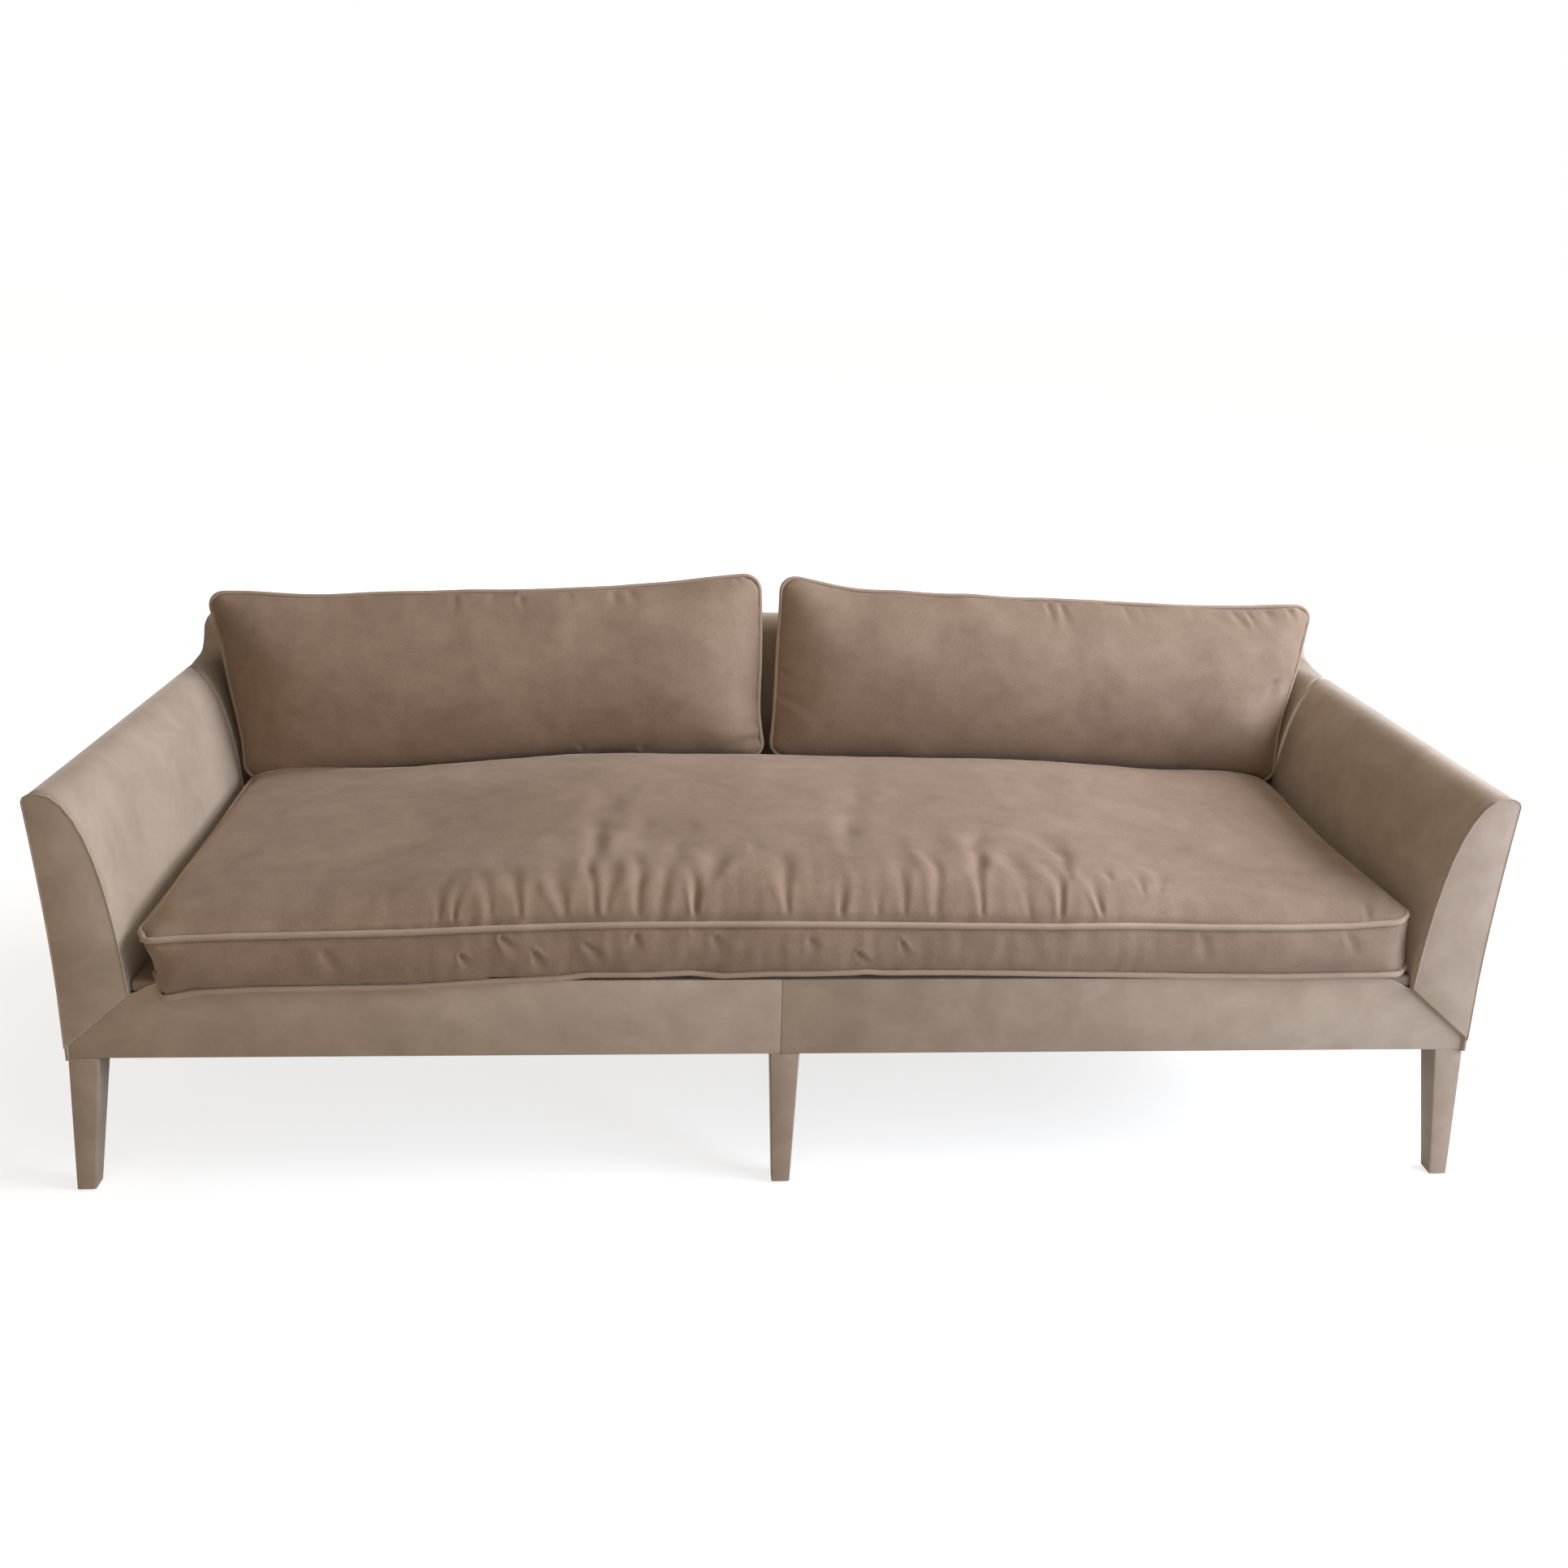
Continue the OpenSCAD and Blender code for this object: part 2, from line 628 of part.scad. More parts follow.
post_y = fascia_t + seat_clear + rail_t + seat_clear;
arm_rail_share = 0.918;
arm_rail_top = arm_h * arm_rail_share;
function face_x(z) =
    let (near = [for (t = [0:fascia_step / 4:1]) let (p = arm_face(t, pad_back)) if (p[1] >= z) p[0]])
    near[0];
module arm_rail(z, depth) {
    color(wood_colour)
        block([face_x(z) + seat_clear, post_y, z - arm_rail_h],
            [inner_side - seat_clear, inside_y(z - arm_rail_h) + depth / cos(back_lean) - seat_clear, z]);
}

tack_rail_top = deck_h + arm_rail_h;

// Back frame: posts, a top rail, a tacking rail and interlaced webbing
back_post_w = 32;
function post_outline(z0, z1) =
    let (c = cos(back_lean), d = cos(tail_lean))
    [[inside_y(z0) + post_d / c, z0], [outside_y(z0) - panel_d / d - seat_clear, z0],
     [outside_y(z1) - panel_d / d - seat_clear, z1], [inside_y(z1) + post_d / c, z1]];
module back_posts() {
    outline = post_outline(rail_top + seat_clear, back_rail_top);
    color(wood_colour) {
        pair()
            across(outline, inner_side - back_post_w, inner_side);
        across(outline, -back_post_w / 2, back_post_w / 2);
    }
}

module back_rail(z) {
    color(wood_colour)
        across(inside_band(z, z + back_rail_h, back_rail_d, back_rail_d + rail_t), -inner_side, inner_side);
}

module back_webbing() {
    z0 = deck_h;
    z1 = back_rail_top;
    pitch = back_pad_half * 2 / web_up_n;
    rise = (z1 - z0) / (web_across_n + 1);
    color("#5a4a3c") {
        for (k = [0:web_up_n - 1])
            translate([-back_pad_half + pitch * (k + 0.5), 0, 0])
                across(inside_band(z0, z1, web_d, web_d + web_t), -web_w / 2, web_w / 2);
        for (k = [1:web_across_n])
            across(inside_band(z0 + rise * k - web_w / 2, z0 + rise * k + web_w / 2,
                web_across_d, web_across_d + web_t), -back_pad_half, back_pad_half);
    }
}

// Sinuous springs: runs across and half turns, one wire from the front rail to the rear rail
spring_half = foot_x - spring_w;
spring_x = spring_half * 2 / (spring_n - 1);
spring_front = rail_y + rail_t / 2;
spring_back = rear_rail_face + rail_t / 2;
spring_runs = round((spring_back - spring_front) / spring_pitch);
spring_step = (spring_back - spring_front) / spring_runs;
module spring() {
    bend = spring_step / 2;
    reach = spring_w - spring_step;
    translate([0, front + spring_front, spring_z - spring_r])
        linear_extrude(spring_r * 2) {
            for (k = [0:spring_runs])
                translate([-reach / 2, k * spring_step - spring_r])
                    square([reach, spring_r * 2]);
            for (k = [0:spring_runs - 1])
                translate([(k % 2 == 0 ? 1 : -1) * reach / 2, (k + 0.5) * spring_step])
                    mirror([k % 2, 0])
                        difference() {
                            circle(bend + spring_r, $fn = 32);
                            circle(bend - spring_r, $fn = 32);
                            translate([-spring_w, -spring_w])
                                square([spring_w, spring_w * 2]);
                        }
        }
}

module seat_springs() {
    color(steel_colour)
        for (k = [0:spring_n - 1])
            translate([-spring_half + k * spring_x, 0, 0])
                spring();
}

clip_w = 14;
clip_l = 18;
clip_t = 1.5;
module spring_clips() {
    z = spring_z + spring_r + seat_clear;
    color(steel_colour)
        for (k = [0:spring_n - 1], y = [spring_front, spring_back])
            translate([-spring_half + k * spring_x, 0, 0])
                block([-clip_w / 2, y - clip_l / 2, z], [clip_w / 2, y + clip_l / 2, z + clip_t]);
}

module spring_tie_wires() {
    color(steel_colour)
        for (s = [1:2])
            translate([-spring_half, front + mix(spring_front, spring_back, s / 3), wire_z])
                rotate([0, 90, 0])
                    cylinder(r = wire_r, h = spring_half * 2, $fn = 16);
}

// Cushions. The outline runs round a rectangle with rounded corners whose sides pull in:
// each point is [x, y, outward x, outward y].
corner_n = 4;
side_n = [8, 5];
function cushion_outline(w, h, r, draws) = [for (s = [0:3])
    let (along = s % 2 == 0 ? w : h, other = s % 2 == 0 ? h : w, n = side_n[s % 2], draw = draws[s])
    each concat(
        [for (k = [0:n - 1])
            let (u = k / n * 2 - 1, x = u * (along / 2 - r), y = -other / 2 + draw * (1 - u * u))
            turned([x, y, 0, -1], s)],
        [for (k = [0:corner_n - 1])
            let (a = 90 * k / corner_n - 90)
            turned([along / 2 - r + r * cos(a), -other / 2 + r + r * sin(a), cos(a), sin(a)], s)])];
function turned(p, s) =
    let (c = cos(90 * s), d = sin(90 * s))
    [c * p[0] - d * p[1], d * p[0] + c * p[1], c * p[2] - d * p[3], d * p[2] + c * p[3]];

// Rings from the flat side to the crown: two piped edges with the boxing between, then the crown
crown_shares = [0.96, 0.88, 0.76, 0.6, 0.4, 0.18];
function ring(line, out, z) = [for (p = line) [p[0] + p[2] * out, p[1] + p[3] * out, z]];
function shrunk(line, spine, s, z) = [for (p = line)
    let (c = within(p[0], -spine, spine))
    [c + (p[0] - c) * s, p[1] * s, z]];
function crowned(line, t, rise, fall, half) =
    [for (p = line) [p[0], p[1], t + rise * (1 - fall * abs(p[0]) / half)]];
function cushion_rings(w, h, r, draws, t, crown, power, fall, narrow) =
    let (line = cushion_outline(w, h, r, draws), b = piping_r)
    let (spine = (w - h) / 2)
    let (side = [[-b * 2, 0], [0, b], [-b, b * 2], [-b, t - b * 2], [0, t - b], [-b, t]])
    concat(
        [for (v = side)
            shrunk(ring(line, v[0], 0), spine, 1 - narrow * (1 - v[1] / t) * 2 / h, v[1])],
        [for (s = crown_shares)
            crowned(shrunk(ring(line, -b, 0), spine, s, t), t, crown * pow(1 - s * s, power), fall, w / 2)]);

// Seat cushion
seat_w = (foot_x - seat_gap) * 2;
seat_front_y = seat_clear * 4;
seat_back_y = inside_y(deck_h) - seat_clear * 4;
seat_depth = seat_back_y - seat_front_y;
seat_z = deck_h + seat_clear;
seat_crown_power = 0.5;
seat_crown_fall = 0.8;
seat_mid = front + (seat_front_y + seat_back_y) / 2;
foam_gap = 26;
foam_w = seat_w - foam_gap * 2;
foam_d = seat_depth - foam_gap * 2;
foam_t = seat_t - foam_gap / 2;
module seat_foam(grow) {
    translate([-foam_w / 2 - grow, seat_mid - foam_d / 2 - grow, seat_z + foam_gap / 2 - grow])
        cube([foam_w + grow * 2, foam_d + grow * 2, foam_t + grow * 2]);
}

module seat_cushion_cover() {
    color(velvet_colour)
        difference() {
            translate([0, seat_mid, seat_z])
                stack(cushion_rings(seat_w, seat_depth, seat_corner_r, [seat_draw, seat_draw, 0, seat_draw],
                    seat_t, seat_crown, seat_crown_power, seat_crown_fall, 0));
            seat_foam(seat_clear);
        }
}

module seat_cushion_core() {
    color(foam_colour)
        seat_foam(0);
}

// Zips: a flat tape along the boxing with its row of teeth, and a slider with a pull
tape_w = 24;
tape_t = 1;
teeth_w = 5;
teeth_t = 1.2;
slider_w = 9;
slider_l = 12;
slider_t = 1.2;
pull_l = 18;
pull_w = 6;
seat_zip_share = 0.68;
back_zip_share = 0.6;
module zip_tape(length) {
    translate([-length / 2, 0, -tape_w / 2])
        cube([length, tape_t, tape_w]);
    translate([-length / 2, tape_t, -teeth_w / 2])
        cube([length, teeth_t, teeth_w]);
}

module zip_slider(length) {
    base = tape_t + teeth_t + fit_clear;
    translate([-length / 2, base, -slider_w / 2])
        cube([slider_l, slider_t, slider_w]);
    translate([-length / 2 + slider_l, base, -pull_w / 2])
        cube([pull_l, slider_t / 2, pull_w]);
}

seat_zip_l = seat_w * seat_zip_share;
seat_zip_y = seat_mid + seat_depth / 2 - piping_r + fit_clear;
module seat_zip_tape() {
    color("#6f6258")
        translate([0, seat_zip_y, seat_z + seat_t / 2])
            zip_tape(seat_zip_l);
}

module seat_zip_slider() {
    color("#8a7a55")
        translate([0, seat_zip_y, seat_z + seat_t / 2])
            zip_slider(seat_zip_l);
}

// Back cushions, drawn for the left one on +X. Local z runs forward from the inside of the back.
back_foot_z = seat_z + seat_t + seat_clear;
face_foot_x = foot_x + arm_foot_lean;
back_cushion_w = face_foot_x - back_side_gap - back_gap / 2;
back_mid_x = back_gap / 2 + back_cushion_w / 2;
back_crown_power = 1.1;
tilt_lift_share = 0.26;
back_lift = back_cushion_w / 2 * sin(back_tilt) * tilt_lift_share;
module in_back_place() {
    translate([back_mid_x, front + inside_y(back_foot_z) - seat_clear / cos(back_lean) * 2, back_foot_z])
        rotate([90 - back_lean, 0, 0])
            translate([0, back_lift / cos(back_lean), 0])
                rotate([0, 0, -back_tilt])
                    translate([0, back_cushion_h / 2, 0])
                        children();
}

function spread_x(x, y) =
    -back_cushion_w / 2
    + (x + back_cushion_w / 2) * (1 + back_cushion_spread / back_cushion_w * (y / back_cushion_h + 0.5));
module back_cushion_body() {
    rings = cushion_rings(back_cushion_w, back_cushion_h, back_corner_r,
        [0, back_draw, back_draw, back_draw], back_cushion_t, back_cushion_crown, back_crown_power, 0,
        rear_inset);
    stack([for (r = rings) [for (p = r) [spread_x(p[0], p[1]), p[1], p[2]]]]);
}

back_foam_gap = 30;
module back_foam(grow) {
    w = back_cushion_w - (back_foam_gap + rear_inset) * 2;
    h = back_cushion_h - (back_foam_gap + rear_inset) * 2;
    translate([-w / 2 - grow, -h / 2 - grow, back_foam_gap / 2 - grow])
        cube([w + grow * 2, h + grow * 2, back_cushion_t - back_foam_gap / 2 + grow * 2]);
}

module back_cushion_cover() {
    color(velvet_colour)
        in_back_place()
            difference() {
                back_cushion_body();
                back_foam(seat_clear);
            }
}

module back_cushion_core() {
    color(foam_colour)
        in_back_place()
            back_foam(0);
}

// The foot of the boxing slopes in towards the rear, and the zip lies along it
back_zip_l = back_cushion_w * back_zip_share;
boxing_low = piping_r * 2;
boxing_high = back_cushion_t - piping_r * 2;
function foot_y(z) =
    -(back_cushion_h / 2 - piping_r) * (1 - rear_inset * (1 - z / back_cushion_t) * 2 / back_cushion_h);
foot_slope = atan((foot_y(boxing_low) - foot_y(boxing_high)) / (boxing_high - boxing_low));
module on_back_foot() {
    in_back_place()
        translate([0, foot_y(back_cushion_t / 2), back_cushion_t / 2])
            rotate([foot_slope, 0, 0])
                translate([0, -fit_clear, 0])
                    mirror([0, 1, 0])
                        children();
}

module back_zip_tape() {
    color("#6f6258")
        on_back_foot()
            zip_tape(back_zip_l);
}

module back_zip_slider() {
    color("#8a7a55")
        on_back_foot()
            zip_slider(back_zip_l);
}

seat_cushion_cover();
seat_cushion_core();
seat_zip_tape();
seat_zip_slider();
back_cushion_cover();  // back_cushion_left_cover
back_cushion_core();  // back_cushion_left_core
back_zip_tape();  // back_zip_left_tape
back_zip_slider();  // back_zip_left_slider
mirror([1, 0, 0]) back_cushion_cover();  // back_cushion_right_cover
mirror([1, 0, 0]) back_cushion_core();  // back_cushion_right_core
mirror([1, 0, 0]) back_zip_tape();  // back_zip_right_tape
mirror([1, 0, 0]) back_zip_slider();  // back_zip_right_slider
inside_arm_cover();  // inside_arm_left_cover
mirror([1, 0, 0]) inside_arm_cover();  // inside_arm_right_cover
inside_arm_pad();  // inside_arm_left_pad
mirror([1, 0, 0]) inside_arm_pad();  // inside_arm_right_pad
outside_arm_panel();  // outside_arm_left_panel
mirror([1, 0, 0]) outside_arm_panel();  // outside_arm_right_panel
arm_fascia();  // arm_fascia_left
mirror([1, 0, 0]) arm_fascia();  // arm_fascia_right
inside_back_cover();
inside_back_pad();
outside_back_panel();
front_border();  // front_border_left
mirror([1, 0, 0]) front_border();  // front_border_right
deck_pad();
deck_cloth();
dust_cover();
front_rail();
rear_rail();
side_rail();  // side_rail_left
mirror([1, 0, 0]) side_rail();  // side_rail_right
seat_stretchers();
corner_blocks();
arm_post();  // arm_post_left
mirror([1, 0, 0]) arm_post();  // arm_post_right
arm_rail(arm_rail_top, post_d);  // arm_top_rail_left
mirror([1, 0, 0]) arm_rail(arm_rail_top, post_d);  // arm_top_rail_right
pair() arm_rail(tack_rail_top, back_rail_d);  // arm_tack_rails
back_posts();
back_rail(back_rail_top - back_rail_h);  // back_top_rail
back_rail(deck_h);  // back_tack_rail
back_webbing();
seat_springs();
spring_clips();
spring_tie_wires();
leg(2, 0);  // leg_front_left
leg(1, 0);  // leg_front_centre
leg(0, 0);  // leg_front_right
leg(2, 1);  // leg_rear_left
leg(1, 1);  // leg_rear_centre
leg(0, 1);  // leg_rear_right
leg_glides();
leg_bolts();
leg_inserts();
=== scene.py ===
"""Low sofa with flared arms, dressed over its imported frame: simulated velvet cushions with self piping,
suede-like close cover with welted seams, wrapped legs, platform cloth, zips and hardwood. Metres, Z up."""

import math

import bmesh
import bpy
import numpy as np
from mathutils import Matrix, Vector, noise
from mathutils.bvhtree import BVHTree
from mathutils.kdtree import KDTree


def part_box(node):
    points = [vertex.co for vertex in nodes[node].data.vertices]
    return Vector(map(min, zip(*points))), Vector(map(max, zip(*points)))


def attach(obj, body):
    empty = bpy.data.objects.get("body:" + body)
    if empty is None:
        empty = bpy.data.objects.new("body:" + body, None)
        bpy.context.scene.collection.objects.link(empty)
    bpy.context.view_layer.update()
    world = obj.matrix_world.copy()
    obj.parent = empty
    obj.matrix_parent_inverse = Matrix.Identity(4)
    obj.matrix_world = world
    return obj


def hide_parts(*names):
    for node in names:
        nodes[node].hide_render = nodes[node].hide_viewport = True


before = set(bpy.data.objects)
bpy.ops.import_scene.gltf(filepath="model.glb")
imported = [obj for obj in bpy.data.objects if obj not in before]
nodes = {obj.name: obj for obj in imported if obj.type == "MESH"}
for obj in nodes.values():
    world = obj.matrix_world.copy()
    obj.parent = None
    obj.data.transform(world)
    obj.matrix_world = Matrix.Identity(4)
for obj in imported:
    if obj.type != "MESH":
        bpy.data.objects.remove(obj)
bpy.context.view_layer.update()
scene = bpy.context.scene
MM = 0.001


# Camera, as solved from the photograph's own lines: the eye in metres, the photograph's side, the focal
# length and the middle of the lens in pixels, and the sensor in mm
EYE = Vector((-0.161, -2.293, 1.416))
YAW, PITCH, ROLL = (math.radians(a) for a in (3.28, 15.62, 1.44))
PHOTO = 1932
FOCAL = 1701
CENTRE = (937, 795)
SENSOR = 36


def stand_camera():
    ahead = Vector((math.sin(YAW) * math.cos(PITCH), math.cos(YAW) * math.cos(PITCH), -math.sin(PITCH)))
    level = Vector((math.cos(YAW), -math.sin(YAW), 0))
    top = level.cross(ahead)
    right = math.cos(ROLL) * level + math.sin(ROLL) * top
    up = math.cos(ROLL) * top - math.sin(ROLL) * level
    cam = bpy.data.objects.new("camera", bpy.data.cameras.new("camera"))
    scene.collection.objects.link(cam)
    cam.data.sensor_width = SENSOR
    cam.data.lens = FOCAL * SENSOR / PHOTO
    cam.data.shift_x = (PHOTO / 2 - CENTRE[0]) / PHOTO
    cam.data.shift_y = (CENTRE[1] - PHOTO / 2) / PHOTO
    turn = Matrix((right, up, -ahead)).transposed().to_4x4()
    cam.matrix_world = Matrix.Translation(EYE) @ turn
    scene.camera = cam


stand_camera()
scene.view_settings.view_transform = "Standard"


# Materials. Colours are sRGB hex, turned to linear by one function.
def linear(code):
    parts = [int(code[i : i + 2], 16) / 255 for i in (1, 3, 5)]
    return [c / 12.92 if c <= 0.04045 else ((c + 0.055) / 1.055) ** 2.4 for c in parts] + [1]


def add(tree, kind, values=None, links=None, **settings):
    node = tree.nodes.new(kind)
    for key, value in settings.items():
        setattr(node, key, value)
    for socket, value in (values or {}).items():
        node.inputs[socket].default_value = value
    for socket, source in (links or {}).items():
        tree.links.new(source, node.inputs[socket])
    return node


def material(name, finish):
    mat = bpy.data.materials.new(name)
    mat.use_nodes = True
    tree = mat.node_tree
    tree.nodes.clear()
    place = add(tree, "ShaderNodeTexCoord").outputs["Object"]
    shader = finish(tree, place)
    add(tree, "ShaderNodeOutputMaterial", links={"Surface": shader})
    return mat


def per_metre(millimetres):
    """Noise scale whose blotches are about this far apart."""
    return 1 / (millimetres * MM)


def cotton_velvet(tree, place, low="#7e6a5b", high="#9d8978"):
    """Cut-pile cotton velvet: the pile lies in soft patches that read lighter or darker, with a pale
    bloom where it is seen edge on. Pile is 0.3 mm; its grain is drawn at 3.2 mm so that it shows."""
    patch = add(tree, "ShaderNodeTexNoise", {"Scale": per_metre(150), "Detail": 5, "Roughness": 0.6,
                "Distortion": 0.6}, {"Vector": place}).outputs["Fac"]
    rub = add(tree, "ShaderNodeTexNoise", {"Scale": per_metre(34), "Detail": 3},
              {"Vector": place}).outputs["Fac"]
    grain = add(tree, "ShaderNodeTexNoise", {"Scale": per_metre(3.2), "Detail": 2},
                {"Vector": place}).outputs["Fac"]
    mix = add(tree, "ShaderNodeMix", {"Factor": 0.3}, {"A": patch, "B": rub}, data_type="FLOAT")
    mix = add(tree, "ShaderNodeMix", {"Factor": 0.26}, {"A": mix.outputs["Result"], "B": grain},
              data_type="FLOAT")
    ramp = add(tree, "ShaderNodeValToRGB", links={"Fac": mix.outputs["Result"]})
    ramp.color_ramp.elements[0].position = 0.3
    ramp.color_ramp.elements[0].color = linear(low)
    ramp.color_ramp.elements[1].position = 0.7
    ramp.color_ramp.elements[1].color = linear(high)
    bump = add(tree, "ShaderNodeBump", {"Strength": 0.25, "Distance": 0.4 * MM}, {"Height": grain})
    return add(tree, "ShaderNodeBsdfPrincipled", {"Roughness": 0.95, "Sheen Weight": 0.8,
               "Sheen Roughness": 0.3, "Sheen Tint": linear("#dac7b6"), "Specular IOR Level": 0.2},
               {"Base Color": ramp.outputs["Color"], "Normal": bump.outputs["Normal"]}).outputs["BSDF"]


def brushed_suede_cloth(tree, place):
    """Microfibre suede, brushed after weaving: matt and greige, with cloudy hand marks a palm wide. Its nap
    is finer than the 1.6 mm that it is drawn at."""
    cloud = add(tree, "ShaderNodeTexNoise", {"Scale": per_metre(80), "Detail": 5, "Roughness": 0.6,
                "Distortion": 0.4}, {"Vector": place}).outputs["Fac"]
    grain = add(tree, "ShaderNodeTexNoise", {"Scale": per_metre(1.6), "Detail": 2},
                {"Vector": place}).outputs["Fac"]
    ramp = add(tree, "ShaderNodeValToRGB", links={"Fac": cloud})
    ramp.color_ramp.elements[0].position = 0.3
    ramp.color_ramp.elements[0].color = linear("#9b8b7b")
    ramp.color_ramp.elements[1].position = 0.7
    ramp.color_ramp.elements[1].color = linear("#ad9d8d")
    bump = add(tree, "ShaderNodeBump", {"Strength": 0.12, "Distance": 0.3 * MM}, {"Height": grain})
    return add(tree, "ShaderNodeBsdfPrincipled", {"Roughness": 0.88, "Sheen Weight": 1.0,
               "Sheen Roughness": 0.35, "Sheen Tint": linear("#f1e8de"), "Specular IOR Level": 0.25},
               {"Base Color": ramp.outputs["Color"], "Normal": bump.outputs["Normal"]}).outputs["BSDF"]


def plain(low, high, size, rough, metal=0.0, stretch=(1, 1, 1), depth=0.2):
    """Two close tones over a noise of this size in mm, with the same noise as a shallow bump."""

    def finish(tree, place):
        laid = add(tree, "ShaderNodeMapping", {"Scale": stretch}, {"Vector": place}).outputs["Vector"]
        fac = add(tree, "ShaderNodeTexNoise", {"Scale": per_metre(size), "Detail": 4},
                  {"Vector": laid}).outputs["Fac"]
        ramp = add(tree, "ShaderNodeValToRGB", links={"Fac": fac})
        ramp.color_ramp.elements[0].position = 0.35
        ramp.color_ramp.elements[0].color = linear(low)
        ramp.color_ramp.elements[1].position = 0.65
        ramp.color_ramp.elements[1].color = linear(high)
        bump = add(tree, "ShaderNodeBump", {"Strength": 0.4, "Distance": depth * MM}, {"Height": fac})
        return add(tree, "ShaderNodeBsdfPrincipled", {"Roughness": rough, "Metallic": metal},
                   {"Base Color": ramp.outputs["Color"], "Normal": bump.outputs["Normal"]}).outputs["BSDF"]

    return finish


velvet = material("cotton_velvet", cotton_velvet)
# Piping is the same velvet cut on the bias, drawn in a paler tone: painted sheen, for the pile that opens over
# the cord and catches the light
bias_velvet_painted_sheen = material("bias_cut_velvet", lambda tree, place: cotton_velvet(tree, place, "#998777", "#b09e8f"))
cloth = material("brushed_suede_cloth", brushed_suede_cloth)
# Pale wood with the grain drawn out along the rails, matt from the saw
beech = material("sawn_beech", plain("#b98f62", "#d0ab7c", 18, 0.6, stretch=(0.12, 1, 1)))
# Cream foam with an open, matt cut face
foam = material("cut_polyether_foam", plain("#e3d49a", "#f1e6bd", 2.5, 0.95, depth=0.6))
# Matt cloths: black fleece, brown twill, dark fibrous straps and the zip's fine tape
lining = material("spunbond_lining", plain("#2b2a29", "#3a3937", 3, 0.9))
drill = material("cotton_platform_drill", plain("#7c6c5f", "#8b7a6c", 1.8, 0.95))
jute = material("jute_webbing", plain("#5a4938", "#77634b", 2, 0.9))
tape = material("woven_zip_tape", plain("#63564c", "#74675c", 1.5, 0.9))
# Bare metals, half bright from drawing, turning and tumbling
spring = material("drawn_spring_steel", plain("#7d8184", "#989c9f", 6, 0.35, 1.0))
brass = material("turned_brass", plain("#b08d3f", "#c9a85a", 5, 0.3, 1.0))
antique = material("antique_zip_metal", plain("#75664a", "#94835c", 4, 0.35, 1.0))
# Black plastic with the dull shine of its mould
nylon = material("moulded_nylon", plain("#262423", "#31302f", 4, 0.45))
SLOTS = {
    "frame_cloth": cloth, "cushion_velvet": velvet, "hardwood": beech, "foam": foam, "lining_cloth": lining,
    "webbing": jute, "spring_steel": spring, "brass_insert": brass, "nylon_glide": nylon,
    "zip_tape": tape, "zip_metal": antique,
}
for node in nodes.values():
    for index, slot in enumerate(node.data.materials):
        node.material_slots[index].material = SLOTS[slot.name.split(".")[0]]


# Mesh helpers
CAD_WELD = 0.002 * MM
TUBE_WELD = 0.01 * MM
PAIR_ANGLE = math.radians(60)  # up to which two triangles are joined


def copy_of(name):
    bm = bmesh.new()
    bm.from_mesh(nodes[name].data)
    bmesh.ops.remove_doubles(bm, verts=bm.verts, dist=CAD_WELD)
    return bm


def islands(bm):
    """The groups of verts that hang together."""
    left, found = set(bm.verts), []
    while left:
        stack, group = [left.pop()], []
        while stack:
            v = stack.pop()
            group.append(v)
            for e in v.link_edges:
                w = e.other_vert(v)
                if w in left:
                    left.remove(w)
                    stack.append(w)
        found.append(group)
    return found


def as_piece(bm, name, slot, body, mat=None, smooth=True):
    mesh = bpy.data.meshes.new(name)
    bm.to_mesh(mesh)
    bm.free()
    piece = bpy.data.objects.new(name, mesh)
    scene.collection.objects.link(piece)
    mesh.materials.append(mat or SLOTS[slot])
    if smooth:
        mesh.shade_smooth()
    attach(piece, body)
    return piece


def applied(piece):
    """Puts the result of a piece's modifiers in its mesh."""
    evaluated = piece.evaluated_get(bpy.context.evaluated_depsgraph_get())
    mesh = bpy.data.meshes.new_from_object(evaluated)
    piece.modifiers.clear()
    old = piece.data
    piece.data = mesh
    bpy.data.meshes.remove(old)
    return piece


def quads(bm):
    """Joins a CAD grid's triangles in pairs."""
    bmesh.ops.join_triangles(bm, faces=bm.faces, angle_face_threshold=PAIR_ANGLE,
                             angle_shape_threshold=PAIR_ANGLE)


def tube(name, points, radius, slot, body, closed=True, sides=3, mat=None):
    """Piping or welt: a closed or open tube along points."""
    curve = bpy.data.curves.new(name, "CURVE")
    curve.dimensions = "3D"
    curve.bevel_depth = radius
    curve.bevel_resolution = sides
    curve.use_fill_caps = not closed
    spline = curve.splines.new("POLY")
    spline.points.add(len(points) - 1)
    for p, co in zip(spline.points, points):
        p.co = (*co, 1)
    spline.use_cyclic_u = closed
    drawn = bpy.data.objects.new(name + "_line", curve)
    scene.collection.objects.link(drawn)
    mesh = bpy.data.meshes.new_from_object(drawn.evaluated_get(bpy.context.evaluated_depsgraph_get()))
    bpy.data.objects.remove(drawn)
    bm = bmesh.new()
    bm.from_mesh(mesh)
    bpy.data.meshes.remove(mesh)
    bmesh.ops.remove_doubles(bm, verts=bm.verts, dist=TUBE_WELD)
    bmesh.ops.recalc_face_normals(bm, faces=bm.faces)
    return as_piece(bm, name, slot, body, mat)


